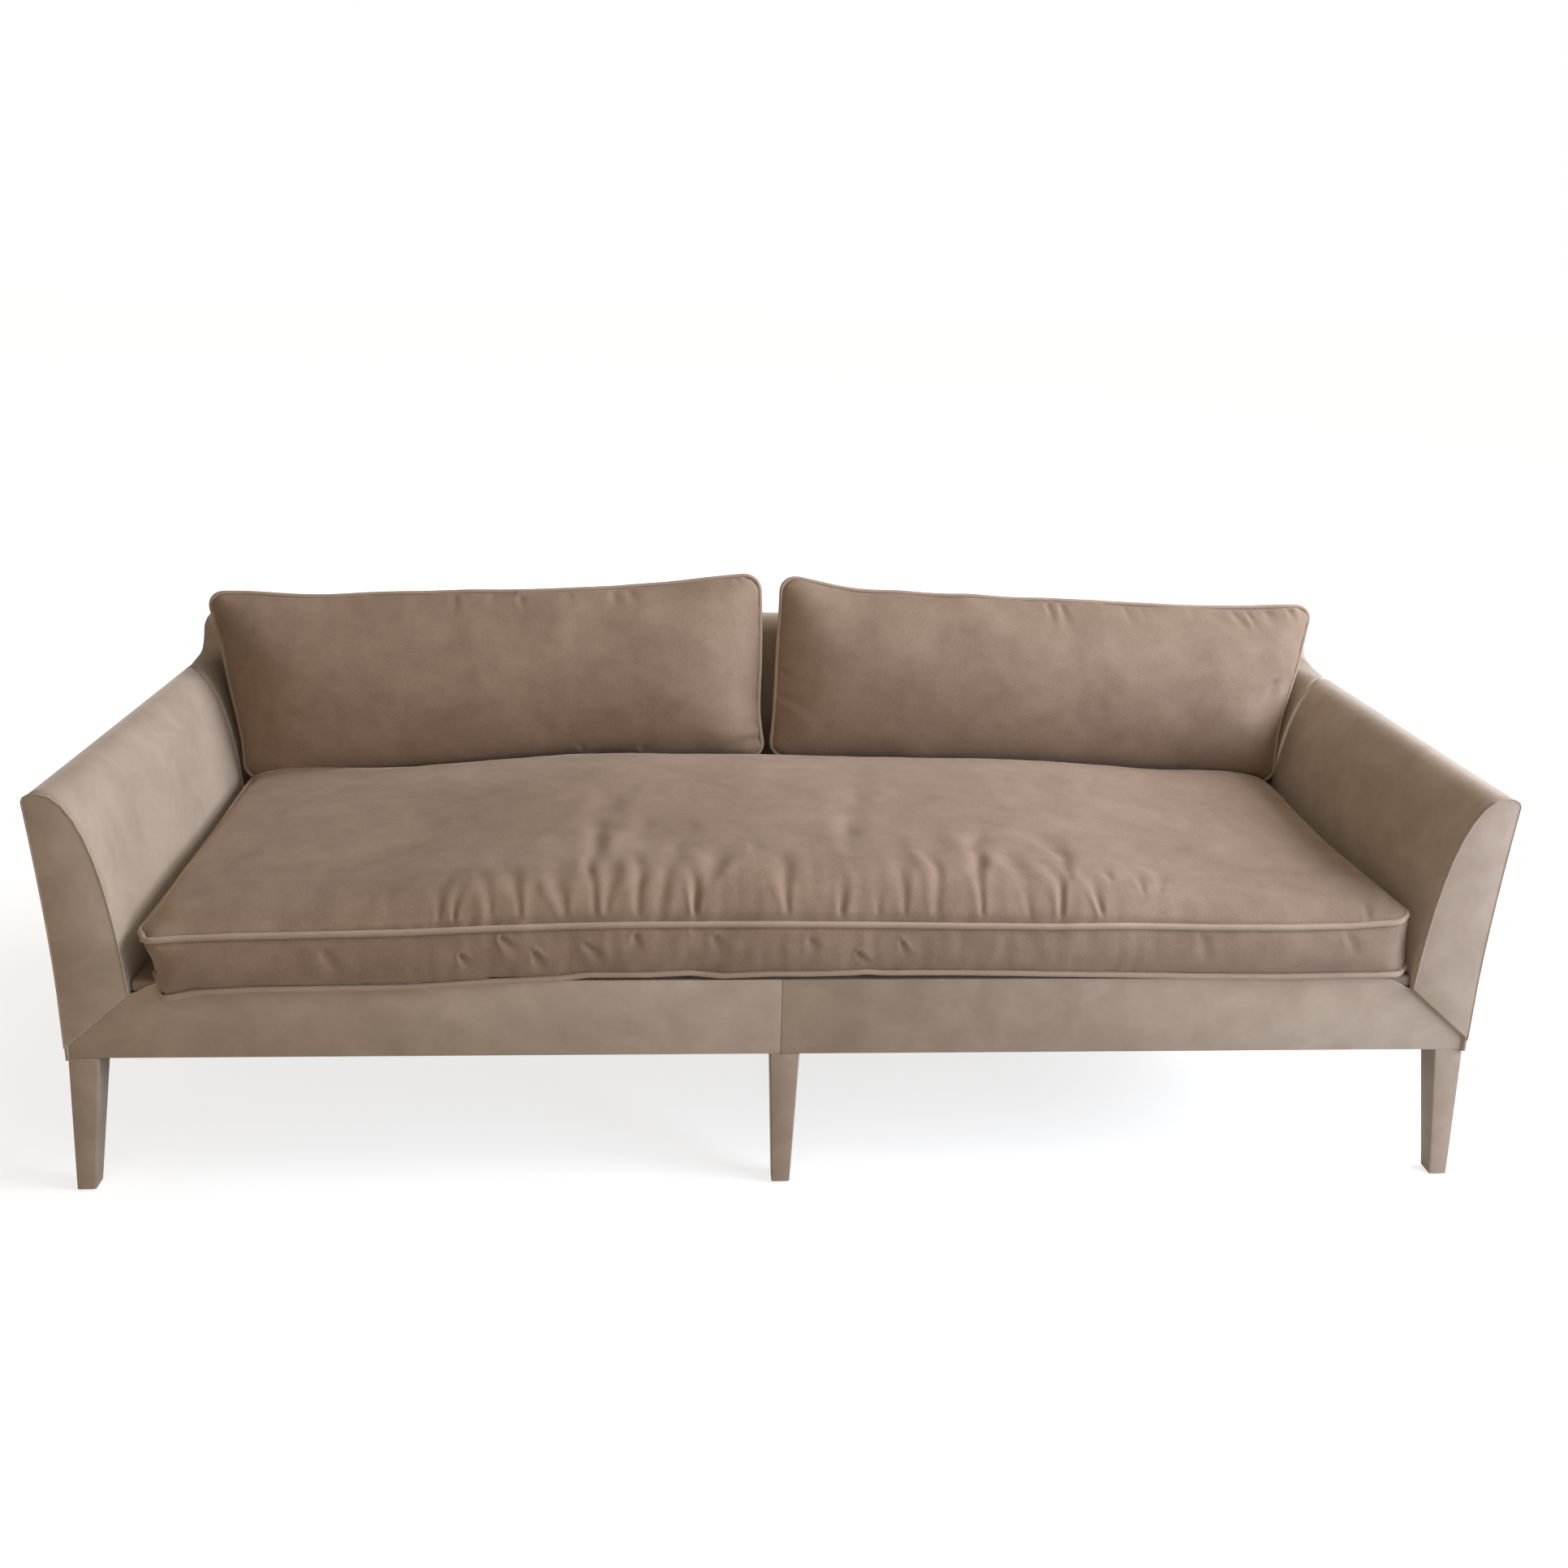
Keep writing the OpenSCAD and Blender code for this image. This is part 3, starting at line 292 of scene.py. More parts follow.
def evened(points, step, closed=True):
    """Points along a smooth line through these, a step apart. Long straights are cut up first, since the
    line would swing out past the corner at the end of one."""
    ends = zip(points, points[1:] + points[:1]) if closed else zip(points, points[1:])
    cut = []
    for a, b in ends:
        parts = max(1, round((b - a).length / (2 * step)))
        cut += [a.lerp(b, j / parts) for j in range(parts)]
    points = cut if closed else cut + [points[-1]]
    n = len(points)
    line = []
    for k in range(n if closed else n - 1):
        p = [points[(k + i) % n] if closed else points[min(max(k + i, 0), n - 1)] for i in (-1, 0, 1, 2)]
        parts = max(1, round((p[2] - p[1]).length / step))
        for j in range(parts):
            t = j / parts
            line.append(0.5 * (2 * p[1] + (p[2] - p[0]) * t + (2 * p[0] - 5 * p[1] + 4 * p[2] - p[3]) * t * t
                               + (3 * p[1] - p[0] - 3 * p[2] + p[3]) * t ** 3))
    if not closed:
        line.append(points[-1].copy())
    return line


def loops(edges):
    """Closed runs of verts along these edges."""
    ties = {}
    for e in edges:
        for v in e.verts:
            ties.setdefault(v, []).append(e.other_vert(v))
    found = []
    while ties:
        start = next(iter(ties))
        run, v = [start], ties.pop(start)[0]
        while v in ties:
            run.append(v)
            v = next((w for w in ties.pop(v) if w in ties), start)
        found.append(run)
    return found


# Cushions
PIPING = 4 * MM
SEAT_PIPING = 1.2 * PIPING
SEAM_STEP = 6 * MM

# Where the filling has pushed or let go of the seams, in mm: x, z, and the shift in x and z
BACK_PULLS = {
    "left": (
        (27, 821, -13, 2), (29, 760, -15, 0), (27, 684, -16, 0), (24, 626, -14, 0), (18, 569, -11, 0),
        (13, 529, -8, -1), (20, 515, -8, -2), (40, 838, -5, 7), (59, 841, 0, -3), (94, 839, 0, -13),
        (133, 836, 0, -19), (172, 833, 0, -18), (300, 825, 0, -16), (451, 817, 0, -13), (568, 811, 0, -9),
        (686, 806, 0, -9), (805, 802, 0, -10), (864, 801, 0, -6), (944, 799, 0, -7), (984, 798, 0, 1),
        (1018, 796, 2, 5), (1034, 781, 3, 1), (1033, 768, 8, 0), (1025, 739, 11, 0), (1017, 709, 13, 0),
        (1008, 674, 12, 0), (999, 630, 7, 0), (993, 597, 1, 0), (988, 562, -4, 0), (983, 524, 0, 0),
        (978, 486, 3, 0), (964, 470, 5, -4), (936, 467, 0, -3), (855, 470, 0, -2), (735, 476, 0, 2),
        (615, 481, 0, 8), (516, 486, 0, 11), (457, 489, 0, 9), (383, 492, 0, 6), (281, 497, 0, -3),
        (176, 502, 0, -3),
    ),
    "right": (
        (-1008, 797, 0, 6), (-950, 798, 0, 4), (-897, 800, 0, -5), (-827, 802, 0, -7), (-731, 805, 0, -3),
        (-619, 809, 0, -4), (-469, 816, 0, -6), (-425, 818, 0, -9), (-311, 824, 0, -9), (-198, 831, 0, -7),
        (-121, 837, 0, -2), (-83, 839, 0, 0), (-40, 838, 5, 7), (-28, 797, 13, 0), (-28, 759, 14, 0),
        (-28, 702, 13, 0), (-25, 646, 10, 0), (-20, 590, 2, 0), (-17, 561, -5, 0), (-13, 537, 2, 0),
        (-24, 514, 8, -3), (-137, 503, 0, -2), (-308, 495, 0, 9), (-384, 492, 0, 11), (-460, 488, 0, 5),
        (-619, 481, 0, -3), (-769, 474, 0, -4), (-881, 469, 0, -4), (-956, 467, -2, -5), (-981, 508, 12, 0),
        (-987, 553, 5, 0), (-994, 602, 0, 0), (-1003, 647, -3, 0), (-1014, 697, 2, 0), (-1026, 741, 0, 0),
    ),
}
BACK_REACH = 62  # mm that a pull reaches
BACK_STAY = 0.2  # weight of the cover's staying in place, beside the pulls' own
# Along the front of the seat, in mm: x, lift of the top seam, lift of the bottom seam
SEAT_FRONT = (
    (-961, -15.3, -30.3), (-936, -13.2, -26.3), (-892, -11.4, -17.9), (-809, -8.8, -14.9),
    (-691, -6.8, -14.1), (-571, -4.4, -13.3), (-451, 0.0, -6.4), (-342, 2.9, -2.0), (-300, 3.6, 3.9),
    (-209, 5.0, 3.5), (-148, 5.1, 6.7), (-101, 5.2, 1.1), (-25, 5.3, 4.2), (36, 4.8, 3.9), (98, 4.2, 5.7),
    (119, 4.0, 7.7), (148, 3.8, 5.5), (260, 2.4, 5.8), (410, 0.7, 3.1), (511, 2.3, 1.4), (638, 0.2, -1.2),
    (766, 0.2, -1.7), (856, 2.5, 0.7), (946, 10.6, 1.1), (975, 11.9, 6.5),
)
# Across the seat just before the back cushions, in mm: x, how far its filling stands higher there
SEAT_CREST = (
    (-960, -9), (-816, 1), (-669, 8), (-521, 18), (-372, 25), (-283, 25), (-149, 19), (0, 13), (77, 14),
    (229, 17), (382, 22), (537, 22), (693, 15), (850, 10), (960, -1),
)
# Shift of the seat's ends along x, in mm, at the bottom and the top seam
END_SHIFT = {"left": (17, 7), "right": (14, -3)}
# Rounded corners of the seat: the reach of the rounding at its front left, front right and rear corners
CORNERS = ((1, -1, 42), (-1, -1, 30), (1, 1, 34), (-1, 1, 34))


# Folds where the cover is gathered by its seams, in mm on the face they lie in: the line of the fold from
# its seam, its half width and its depth
FOLDS = {
    "seat_top": (
        (((-495, -411), (-498, -364)), 9, 2.5), (((-406, -412), (-424, -323), (-443, -255)), 12, 3.5),
        (((-334, -413), (-348, -364), (-370, -319)), 10, 5),
        (((-286, -414), (-301, -362), (-298, -248), (-277, -6)), 13, 5.5),
        (((-270, -407), (-272, -367), (-271, -276)), 11, 3.5),
        (((-223, -413), (-233, -311), (-221, -136)), 14, 3),
        (((-193, -413), (-174, -307), (-149, -165)), 14, 3), (((-136, -416), (-137, -359)), 9, 6),
        (((-119, -395), (-100, -288)), 11, 4), (((-55, -329), (-39, -259)), 12, 2.5),
        (((-2, -417), (-5, -385), (-19, -301)), 9, 4.5), (((78, -416), (82, -371)), 9, 6),
        (((101, -373), (99, -254), (131, -85), (163, 61)), 15, 4), (((134, -416), (136, -387)), 8, 2.5),
        (((177, -414), (175, -371), (178, -282), (186, -169)), 12, 4),
        (((227, -413), (229, -355), (234, -261), (231, -185)), 12, 4.5),
        (((288, -415), (294, -352), (305, -273), (339, -164)), 10, 5.5),
        (((369, -414), (359, -334), (344, -265)), 10, 3.5),
        (((414, -413), (413, -361), (411, -316)), 9, 5),
        (((431, -378), (442, -289), (427, -175)), 11, 3.5), (((480, -405), (471, -336)), 9, 3.5),
        (((501, -375), (498, -327)), 8, 2.5), (((546, -394), (548, -332)), 8, 2.5),
        (((578, -383), (592, -308)), 9, 2.5), (((883, -417), (894, -374)), 8, 3),
        (((930, -397), (939, -357)), 8, 3), (((-450, -409), (-467, -329)), 12, 2),
        (((-522, -408), (-528, -317)), 12, 1.5),
    ),
    "seat_boxing": (
        (((-486, 413), (-470, 389)), 8, 2.5), (((-425, 435), (-394, 400)), 10, 2.5),
        (((-378, 409), (-364, 382)), 9, 2.5), (((-306, 417), (-270, 381)), 10, 2.5),
        (((-407, 444), (-397, 431)), 7, 1.5), (((-110, 430), (-93, 385)), 11, 2),
        (((-145, 448), (-134, 439)), 6, 2), (((109, 403), (129, 378)), 8, 3),
        (((39, 425), (52, 398)), 10, 1.5), (((-229, 431), (-225, 395)), 12, 1.5),
        (((170, 425), (180, 389)), 10, 1.5), (((849, 442), (866, 393)), 10, 1.5),
        (((-687, 425), (-666, 378)), 12, 1.5), (((630, 442), (649, 387)), 12, 1.2),
    ),
    "back_cushion_left": (
        (((522, 808), (536, 778)), 9, 2), (((553, 807), (560, 777), (575, 728)), 12, 2.5),
        (((670, 802), (692, 773)), 9, 2.5), (((707, 801), (717, 779)), 8, 2),
        (((803, 800), (815, 778)), 9, 2), (((879, 799), (892, 780), (910, 754)), 9, 5),
        (((911, 797), (928, 758)), 8, 3), (((946, 800), (965, 762)), 9, 3.5),
        (((984, 802), (1006, 772)), 8, 4), (((1003, 806), (1023, 784)), 7, 4),
        (((951, 664), (932, 633), (928, 588)), 22, 3), (((950, 561), (972, 577)), 8, 2),
        (((935, 542), (967, 554)), 9, 2), (((22, 834), (32, 805)), 7, 3), (((15, 793), (30, 782)), 7, 2),
        (((32, 671), (70, 657)), 9, 3), (((21, 627), (55, 623), (97, 613)), 10, 3.5),
        (((18, 597), (52, 603)), 9, 2), (((791, 492), (762, 541), (722, 552)), 20, 2),
    ),
    "back_cushion_right": (
        (((-20, 830), (-31, 822), (-46, 837)), 7, 3), (((-54, 850), (-46, 829)), 7, 3),
        (((-65, 842), (-57, 822)), 7, 2.5), (((-84, 842), (-80, 825)), 8, 2),
        (((-19, 791), (-61, 778)), 8, 2), (((-20, 726), (-52, 719)), 8, 2),
        (((-24, 700), (-45, 693)), 8, 1.5), (((-12, 543), (-50, 533), (-92, 516)), 11, 4.5),
        (((-31, 544), (-96, 535), (-167, 514)), 13, 3), (((-24, 567), (-43, 589)), 10, 2.5),
        (((-348, 520), (-347, 543)), 10, 1.5), (((-236, 525), (-206, 551)), 13, 2),
        (((-376, 818), (-372, 796)), 12, 1.5), (((-264, 820), (-241, 790)), 14, 1.5),
        (((-294, 819), (-292, 786)), 13, 1.5), (((-465, 803), (-447, 796)), 12, 1.5),
        (((-1017, 793), (-1001, 797), (-979, 806)), 7, 3.5), (((-961, 804), (-954, 783)), 9, 2),
        (((-826, 799), (-819, 773)), 11, 1.2), (((-521, 809), (-517, 780)), 12, 1.5),
        (((-588, 801), (-586, 750)), 14, 1.2),
    ),
}
FOLD_GAIN = 1.35  # how much deeper than written the folds are made
STRAY, STRAY_SIZE = 9, 55  # mm by which noise shifts a fold sideways, and the size of that noise
VARY, VARY_SIZE = 0.9, 70  # share by which noise changes its depth, and its size in mm
RIDGE_AT, RIDGE_SHARE = 1.9, 0.2  # a fold's ridges: how many half widths off, and their share of its depth
RIDGE_LEAN, LEAN_TURN = 0.35, 2.4  # how unlike the two ridges are, and how that changes from fold to fold
FOLD_FOOT = 0.42  # share of its half width that a fold has at its seam
WIDEN, WIDEN_LONG = 0.9, 1.3  # what that share gains along a fold, and along a long one besides
SHORT_FOLD, LONG_FOLD = 45, 90  # mm up to which a fold is short, and over which it turns into a long one
FADE_IN, FADE_GAIN = 0.45, 1.4  # of a fold off the seam: the share of it that fades in, and its depth
# A fold of the seat's top that starts between these, in mm along y, starts off the front seam
OFF_SEAM = (-400, 0)


def within(v, low, high):
    return min(max(v, low), high)


def eased(t):
    t = within(t, 0, 1)
    return t * t * (3 - 2 * t)


def back_form(side):
    """How the filling has shifted the cover of a back cushion, by the pulls about a place."""
    pulls = [Vector(p) for p in BACK_PULLS[side]]

    def form(co):
        total, shift = BACK_STAY, Vector((0, 0))
        for p in pulls:
            away = ((co.x / MM - p[0]) ** 2 + (co.z / MM - p[1]) ** 2) / BACK_REACH**2
            if away < 9:
                weight = math.exp(-away)
                total += weight
                shift += weight * p.zw
        shift *= MM / total
        return co + Vector((shift[0], 0, shift[1]))

    return form


seat_lo, seat_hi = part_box("seat_cushion_cover")
SEAT_TOP_SEAM = seat_lo.z + 86 * MM
SAG_REACH = 330 * MM  # from the front seam to where it no longer shapes the top
OVERHANG = 7 * MM  # over which the cover comes up from its drooping seam to the deck
ROLL_HEIGHT = 19 * MM  # of the roll of filling behind the front seam
ROLL_REACH = 52 * MM  # from the front seam to the top of that roll
REAR_CORNER_LIFT = 11 * MM
HANG_FORWARD = 0.35  # of the droop, as the seam swings out over the border
CORNER_IN = 0.354  # of a rounding's reach, by which it takes the corner in

# Spans over which a form of the seat comes in, in metres, by start and length: the lift of the rear corners
# from the front and from the middle, the crest's rise and fall along y, the roll's ends and the ends' lean
LIFT_BACK, LIFT_OUT = (0.3, 0.25), (0.7, 0.25)
CREST_RISE, CREST_FALL = (-0.3, 0.34), (0.112, 0.04)
ROLL_END = (0.35, 0.4)
END_LEAN = (0.62, 0.33)


def over(v, span):
    """From 0 to 1 as v runs over a span."""
    return eased((v - span[0]) / span[1])


def between(rows, x):
    """The values of rows at x, straight between the two rows that it lies between."""
    x = within(x, rows[0][0], rows[-1][0])
    k = max(i for i in range(len(rows) - 1) if rows[i][0] <= x)
    low, high = rows[k], rows[k + 1]
    t = (x - low[0]) / (high[0] - low[0])
    return [p + (q - p) * t for p, q in zip(low[1:], high[1:])]


def seat_form(co):
    """The seat droops at its right front corner, over the border, and stands higher at the other. Its filling
    rises before the back cushions, and its ends lean on the arms."""
    top, base = (lift * MM for lift in between(SEAT_FRONT, co.x / MM))
    crest = between(SEAT_CREST, co.x / MM)[0] * MM
    back = co.y - seat_lo.y
    up = within((co.z - seat_lo.z) / (SEAT_TOP_SEAM - seat_lo.z), 0, 1)
    top *= 1 - eased(back / SAG_REACH)
    top += REAR_CORNER_LIFT * over(back, LIFT_BACK) * over(abs(co.x), LIFT_OUT)
    if base < 0:
        base *= 1 - eased((back - 2 * PIPING) / OVERHANG)
    else:
        base *= 1 - eased((back - PIPING) / (SAG_REACH / 3))
    above = eased((co.z - SEAT_TOP_SEAM) / (8 * MM))
    rise = above * crest * over(co.y, CREST_RISE) * (1 - over(co.y, CREST_FALL))
    roll = max(0, back) / ROLL_REACH
    rise += ROLL_HEIGHT * above * roll * math.exp(1 - roll) * (1 - over(abs(co.x), ROLL_END))
    ahead = -HANG_FORWARD * max(0, -base)
    low, high = END_SHIFT["left" if co.x > 0 else "right"]
    end = (low + (high - low) * up) * MM * over(abs(co.x), END_LEAN)
    moved = co + Vector((end, ahead, base + (top - base) * up + rise))
    for side_x, side_y, reach in CORNERS:
        corner = Vector((seat_hi.x if side_x > 0 else seat_lo.x, seat_hi.y if side_y > 0 else seat_lo.y))
        off = (co.xy - corner).length / (reach * MM)
        if off < 1:
            inwards = Vector((-side_x, -side_y, 0)) * math.sqrt(0.5)
            moved += CORNER_IN * reach * MM * (1 - off) ** 2 * inwards
    return moved


def near(points):
    """Distance from a place to the nearest of these points, by a tree."""
    tree = KDTree(len(points))
    for k, p in enumerate(points):
        tree.insert(p, k)
    tree.balance()
    return lambda co: tree.find(co)[2]


STEPS = 20  # of the cloth simulation


def puff(piece, held, pressure, cap):
    """Blows the cover up over its filling, where it isn't held, by no more than cap."""
    start = [v.co.copy() for v in piece.data.vertices]
    pin = piece.vertex_groups.new(name="held")
    for k, v in enumerate(piece.data.vertices):
        pin.add([k], held(v.co, v.normal), "REPLACE")
    sim = piece.modifiers.new("cloth", "CLOTH")
    sewn = sim.settings
    sewn.quality = 4
    sewn.mass = 0.25
    sewn.tension_stiffness = sewn.compression_stiffness = 14
    sewn.shear_stiffness = 6
    sewn.bending_stiffness = 0.12
    sewn.vertex_group_mass = "held"
    sewn.use_pressure = True
    sewn.uniform_pressure_force = pressure
    sewn.effector_weights.gravity = 0
    sim.collision_settings.use_collision = False
    for step in range(1, STEPS + 1):
        scene.frame_set(step)
    applied(piece)
    scene.frame_set(1)
    for v, co in zip(piece.data.vertices, start):
        move = v.co - co
        v.co = co + move * min(1, cap / max(move.length, 1e-9))
    piece.vertex_groups.clear()


EVENING = 0.6  # share of its neighbours' mean that a vertex takes on in a round


def spread(piece, move, rounds):
    """Evens a shift of the vertices out over their neighbours."""
    mesh = piece.data
    ends = np.zeros(len(mesh.edges) * 2, dtype=int)
    mesh.edges.foreach_get("vertices", ends)
    a, b = ends.reshape(-1, 2).T
    count = np.bincount(a, minlength=len(move)) + np.bincount(b, minlength=len(move))
    for _ in range(rounds):
        total = np.stack([np.bincount(a, move[b, k], len(move)) + np.bincount(b, move[a, k], len(move))
                          for k in range(3)], axis=1)
        move = (1 - EVENING) * move + EVENING * total / count[:, None]
    return move


LIP_REACH = 15 * MM  # from a seam to where its face stands out most
SEAM_HOLD = 7 * MM  # about which a seam holds the cover back
PLUMP_ROUNDS = 40


def plump(piece, seams, face_fill, boxing_fill):
    """Fills a box cushion out between its two seams: a face leaves its seam steeply and stands over it, and
    the boxing bows out. face_fill has the lip, the rise and the reach of the rise for the face of each seam."""
    middles = [sum(seam, Vector()) / len(seam) for seam in seams]
    deep = (middles[0] - middles[1]).length
    tree = KDTree(sum(len(seam) for seam in seams))
    marks = []
    for which, seam in enumerate(seams):
        axis = (middles[which] - middles[1 - which]).normalized()
        for k, p in enumerate(seam):
            run = seam[(k + 3) % len(seam)] - seam[k - 3]
            out = run.cross(axis).normalized()
            if out.dot(p - middles[which]) < 0:
                out.negate()
            tree.insert(p, len(marks))
            marks.append((p, out, axis, which))
    tree.balance()
    vertices = piece.data.vertices
    move, free = np.zeros((len(vertices), 3)), np.zeros((len(vertices), 1))
    for i, v in enumerate(vertices):
        _, k, off = tree.find(v.co)
        p, out, axis, which = marks[k]
        depth = (v.co - p).dot(axis)
        if depth > 0:
            lip, rise, reach = face_fill[which]
            near_seam = off / LIP_REACH
            move[i] = (out * lip * near_seam * math.exp(1 - near_seam)
                       + axis * rise * (1 - math.exp(-off / (reach * MM)))) * MM
        elif depth > -deep:
            t = within(off / deep, 0, 1)
            move[i] = out * boxing_fill * 4 * t * (1 - t) * MM
        free[i] = 1 - math.exp(-((off / SEAM_HOLD) ** 2))
    move = spread(piece, move, PLUMP_ROUNDS) * free
    for v, shift in zip(vertices, move):
        v.co += Vector(shift)


def gathered(u, v, folds):
    """Height of the cloth over these places, in mm: each fold is a valley with a ridge on either side. A
    short fold is deepest at its seam, a long one widens and stays deep to its middle, and one that starts
    away from the seam fades in. Noise lets the folds stray and their depths vary."""
    stray = np.array([(noise.noise(Vector((a / STRAY_SIZE, b / STRAY_SIZE, 3))),
                       noise.noise(Vector((a / STRAY_SIZE, b / STRAY_SIZE, 9))),
                       noise.noise(Vector((a / VARY_SIZE, b / VARY_SIZE, 6)))) for a, b in zip(u, v)])
    u, v = u + STRAY * stray[:, 0], v + STRAY * stray[:, 1]
    height = np.zeros(len(u))
    for count, (line, half, depth) in enumerate(folds):
        leans = 0.5 + RIDGE_LEAN * math.sin(LEAN_TURN * count)
        best = np.full(len(u), 1e9)
        side, along = np.zeros(len(u)), np.zeros(len(u))
        total = sum(math.dist(a, b) for a, b in zip(line, line[1:]))
        long = eased((total - SHORT_FOLD) / LONG_FOLD)
        gone = 0
        for a, b in zip(line, line[1:]):
            length = math.dist(a, b)
            way = ((b[0] - a[0]) / length, (b[1] - a[1]) / length)
            run = (u - a[0]) * way[0] + (v - a[1]) * way[1]
            on = np.clip(run, 0, length)
            off = np.hypot(u - a[0] - on * way[0], v - a[1] - on * way[1])
            nearer = off < best
            best = np.where(nearer, off, best)
            side = np.where(nearer, (u - a[0]) * way[1] - (v - a[1]) * way[0], side)
            along = np.where(nearer, (gone + on) / total, along)
            gone += length
        across = np.sign(side) * best / (half * (FOLD_FOOT + (WIDEN + WIDEN_LONG * long) * along))
        shape = -np.exp(-(across**2)) + RIDGE_SHARE * 2 * (
            leans * np.exp(-((across - RIDGE_AT) ** 2)) + (1 - leans) * np.exp(-((across + RIDGE_AT) ** 2)))
        fades = (1 - long) * (1 - along) ** 1.5 + long * (0.42 + 0.7 * along) * (1 - along**2)
        if OFF_SEAM[0] < line[0][1] < OFF_SEAM[1]:
            fades *= np.clip(along / FADE_IN, 0, 1) * FADE_GAIN
        height += depth * FOLD_GAIN * shape * fades
    return height * (1 + VARY * stray[:, 2])


LUMP, LUMP_SIZE = 1.2, 90 * MM  # mm that lumps in the filling stand out or lie in, and how wide they are
# The fine puckers behind the seat's front seam: their depth in mm, their size along each axis, how far they
# reach back, and the half width of the stretch where they are strongest
PUCKER = 1.2
PUCKER_SIZE = (19 * MM, 90 * MM, 60 * MM)
PUCKER_BACK = 80 * MM
PUCKER_HALF = 0.62


def fold_cover(piece, zones):
    """Moves the cloth along its own normals by the folds of each zone, and by the lumps and puckers: a zone
    is a test on place and normal, the two axes that the folds are drawn in, and the folds."""
    count = len(piece.data.vertices)
    co, normal = np.zeros(count * 3), np.zeros(count * 3)
    piece.data.vertices.foreach_get("co", co)
    piece.data.vertices.foreach_get("normal", normal)
    co, normal = co.reshape(-1, 3), normal.reshape(-1, 3)
    move = np.zeros(count)
    for zone, axes, folds in zones:
        move += zone(co, normal) * gathered(co[:, axes[0]] / MM, co[:, axes[1]] / MM, folds)
    lumps = np.array([noise.fractal(Vector(p) / LUMP_SIZE, 1, 2, 3) for p in co])
    if zones is SEAT_ZONES:
        pucker = np.array([noise.noise(Vector(c / size for c, size in zip(p, PUCKER_SIZE))) for p in co])
        near_seam = np.exp(-((co[:, 1] - co[:, 1].min()) / PUCKER_BACK) ** 2)
        move += PUCKER * pucker * near_seam * (0.25 + np.exp(-((co[:, 0] / PUCKER_HALF) ** 4)))
    co += normal * (move + LUMP * lumps)[:, None] * MM
    piece.data.vertices.foreach_set("co", co.ravel())
    piece.data.update()


HOLLOW = (-170 * MM, -10 * MM)  # front and rear of the hollow, along y
MIDDLE_RISE = 1.5 * MM  # of the filling over that stretch


def fill_middle(bm, name):
    """Fills the hollow that the CAD crown has along the middle of the seat."""
    if name != "seat_cushion":
        return
    bmesh.ops.triangulate(bm, faces=bm.faces)
    crown = BVHTree.FromBMesh(bm)
    down = Vector((0, 0, -1))
    grid = [e for e in bm.edges if min(v.co.z for v in e.verts) > SEAT_TOP_SEAM]
    bmesh.ops.subdivide_edges(bm, edges=grid, cuts=5, use_grid_fill=True)
    front, rear = HOLLOW
    for v in bm.verts:
        if v.co.z > SEAT_TOP_SEAM and front < v.co.y < rear:
            sides = [crown.ray_cast(Vector((v.co.x, y, 1)), down)[0] for y in HOLLOW]
            if all(sides):
                t = (v.co.y - front) / (rear - front)
                v.co.z = sides[0].z + (sides[1].z - sides[0].z) * t + MIDDLE_RISE * 4 * t * (1 - t)


FINE_X = 0.66  # the stretch of the seat with folds: to either side, behind its front and above its foot
FINE_Y = seat_lo.y + 0.13
FINE_Z = seat_lo.z + 8 * MM


def finer_front(piece):
    """Cuts the mesh finer where the seat's folds are, so that they come out crisp."""
    bm = bmesh.new()
    bm.from_mesh(piece.data)
    fine = [e for e in bm.edges
            if all(abs(v.co.x) < FINE_X and v.co.y < FINE_Y and v.co.z > FINE_Z for v in e.verts)]
    bmesh.ops.subdivide_edges(bm, edges=fine, cuts=1, use_grid_fill=True)
    bm.to_mesh(piece.data)
    bm.free()


ZIP_HALF = 14 * MM  # half the width that lies flat
ZIP_BLEND = 24 * MM  # beyond it, to where the boxing is as full as elsewhere
ZIP_GAP = 0.3 * MM  # under the tape
ZIP_STEP = 5 * MM


def lay_under_zip(piece, name):
    """Lays the boxing flat under the cushion's zip, whose tape is stiff. The tape's widest face is its
    underside."""
    stiff = nodes[name.replace("cushion", "zip") + "_tape"].data
    base = max(stiff.polygons, key=lambda face: face.area)
    middle = sum((v.co for v in stiff.vertices), Vector()) / len(stiff.vertices)
    halves = [[v.co for v in stiff.vertices if (v.co.x - middle.x) * way > 0] for way in (-1, 1)]
    off_zip = near(evened([sum(half, Vector()) / len(half) for half in halves], ZIP_STEP, closed=False))
    for v in piece.data.vertices:
        flat = 1 - eased((off_zip(v.co) - ZIP_HALF) / ZIP_BLEND)
        v.co += flat * (ZIP_GAP - (v.co - base.center).dot(base.normal)) * base.normal


RIDGE_ANGLE = math.radians(72)  # sharper edges of the CAD cover are its piped seams
SEAM_VERTS = 20  # shorter runs of sharp edges are no seam
SEWN, SEWN_BLEND = 4 * MM, 8 * MM  # from a seam: what the simulation holds, and over what it lets go
RELAX_FROM = 9 * MM
RELAX_ROUNDS = 45


def relax(piece, off_seam):
    """Rounds the CAD facets away, but not at the seams."""
    bm = bmesh.new()
    bm.from_mesh(piece.data)
    free = [v for v in bm.verts if off_seam(v.co) > RELAX_FROM]
    for _ in range(RELAX_ROUNDS):
        bmesh.ops.smooth_vert(bm, verts=free, factor=0.5, use_axis_x=True, use_axis_y=True, use_axis_z=True)
    bm.to_mesh(piece.data)
    bm.free()


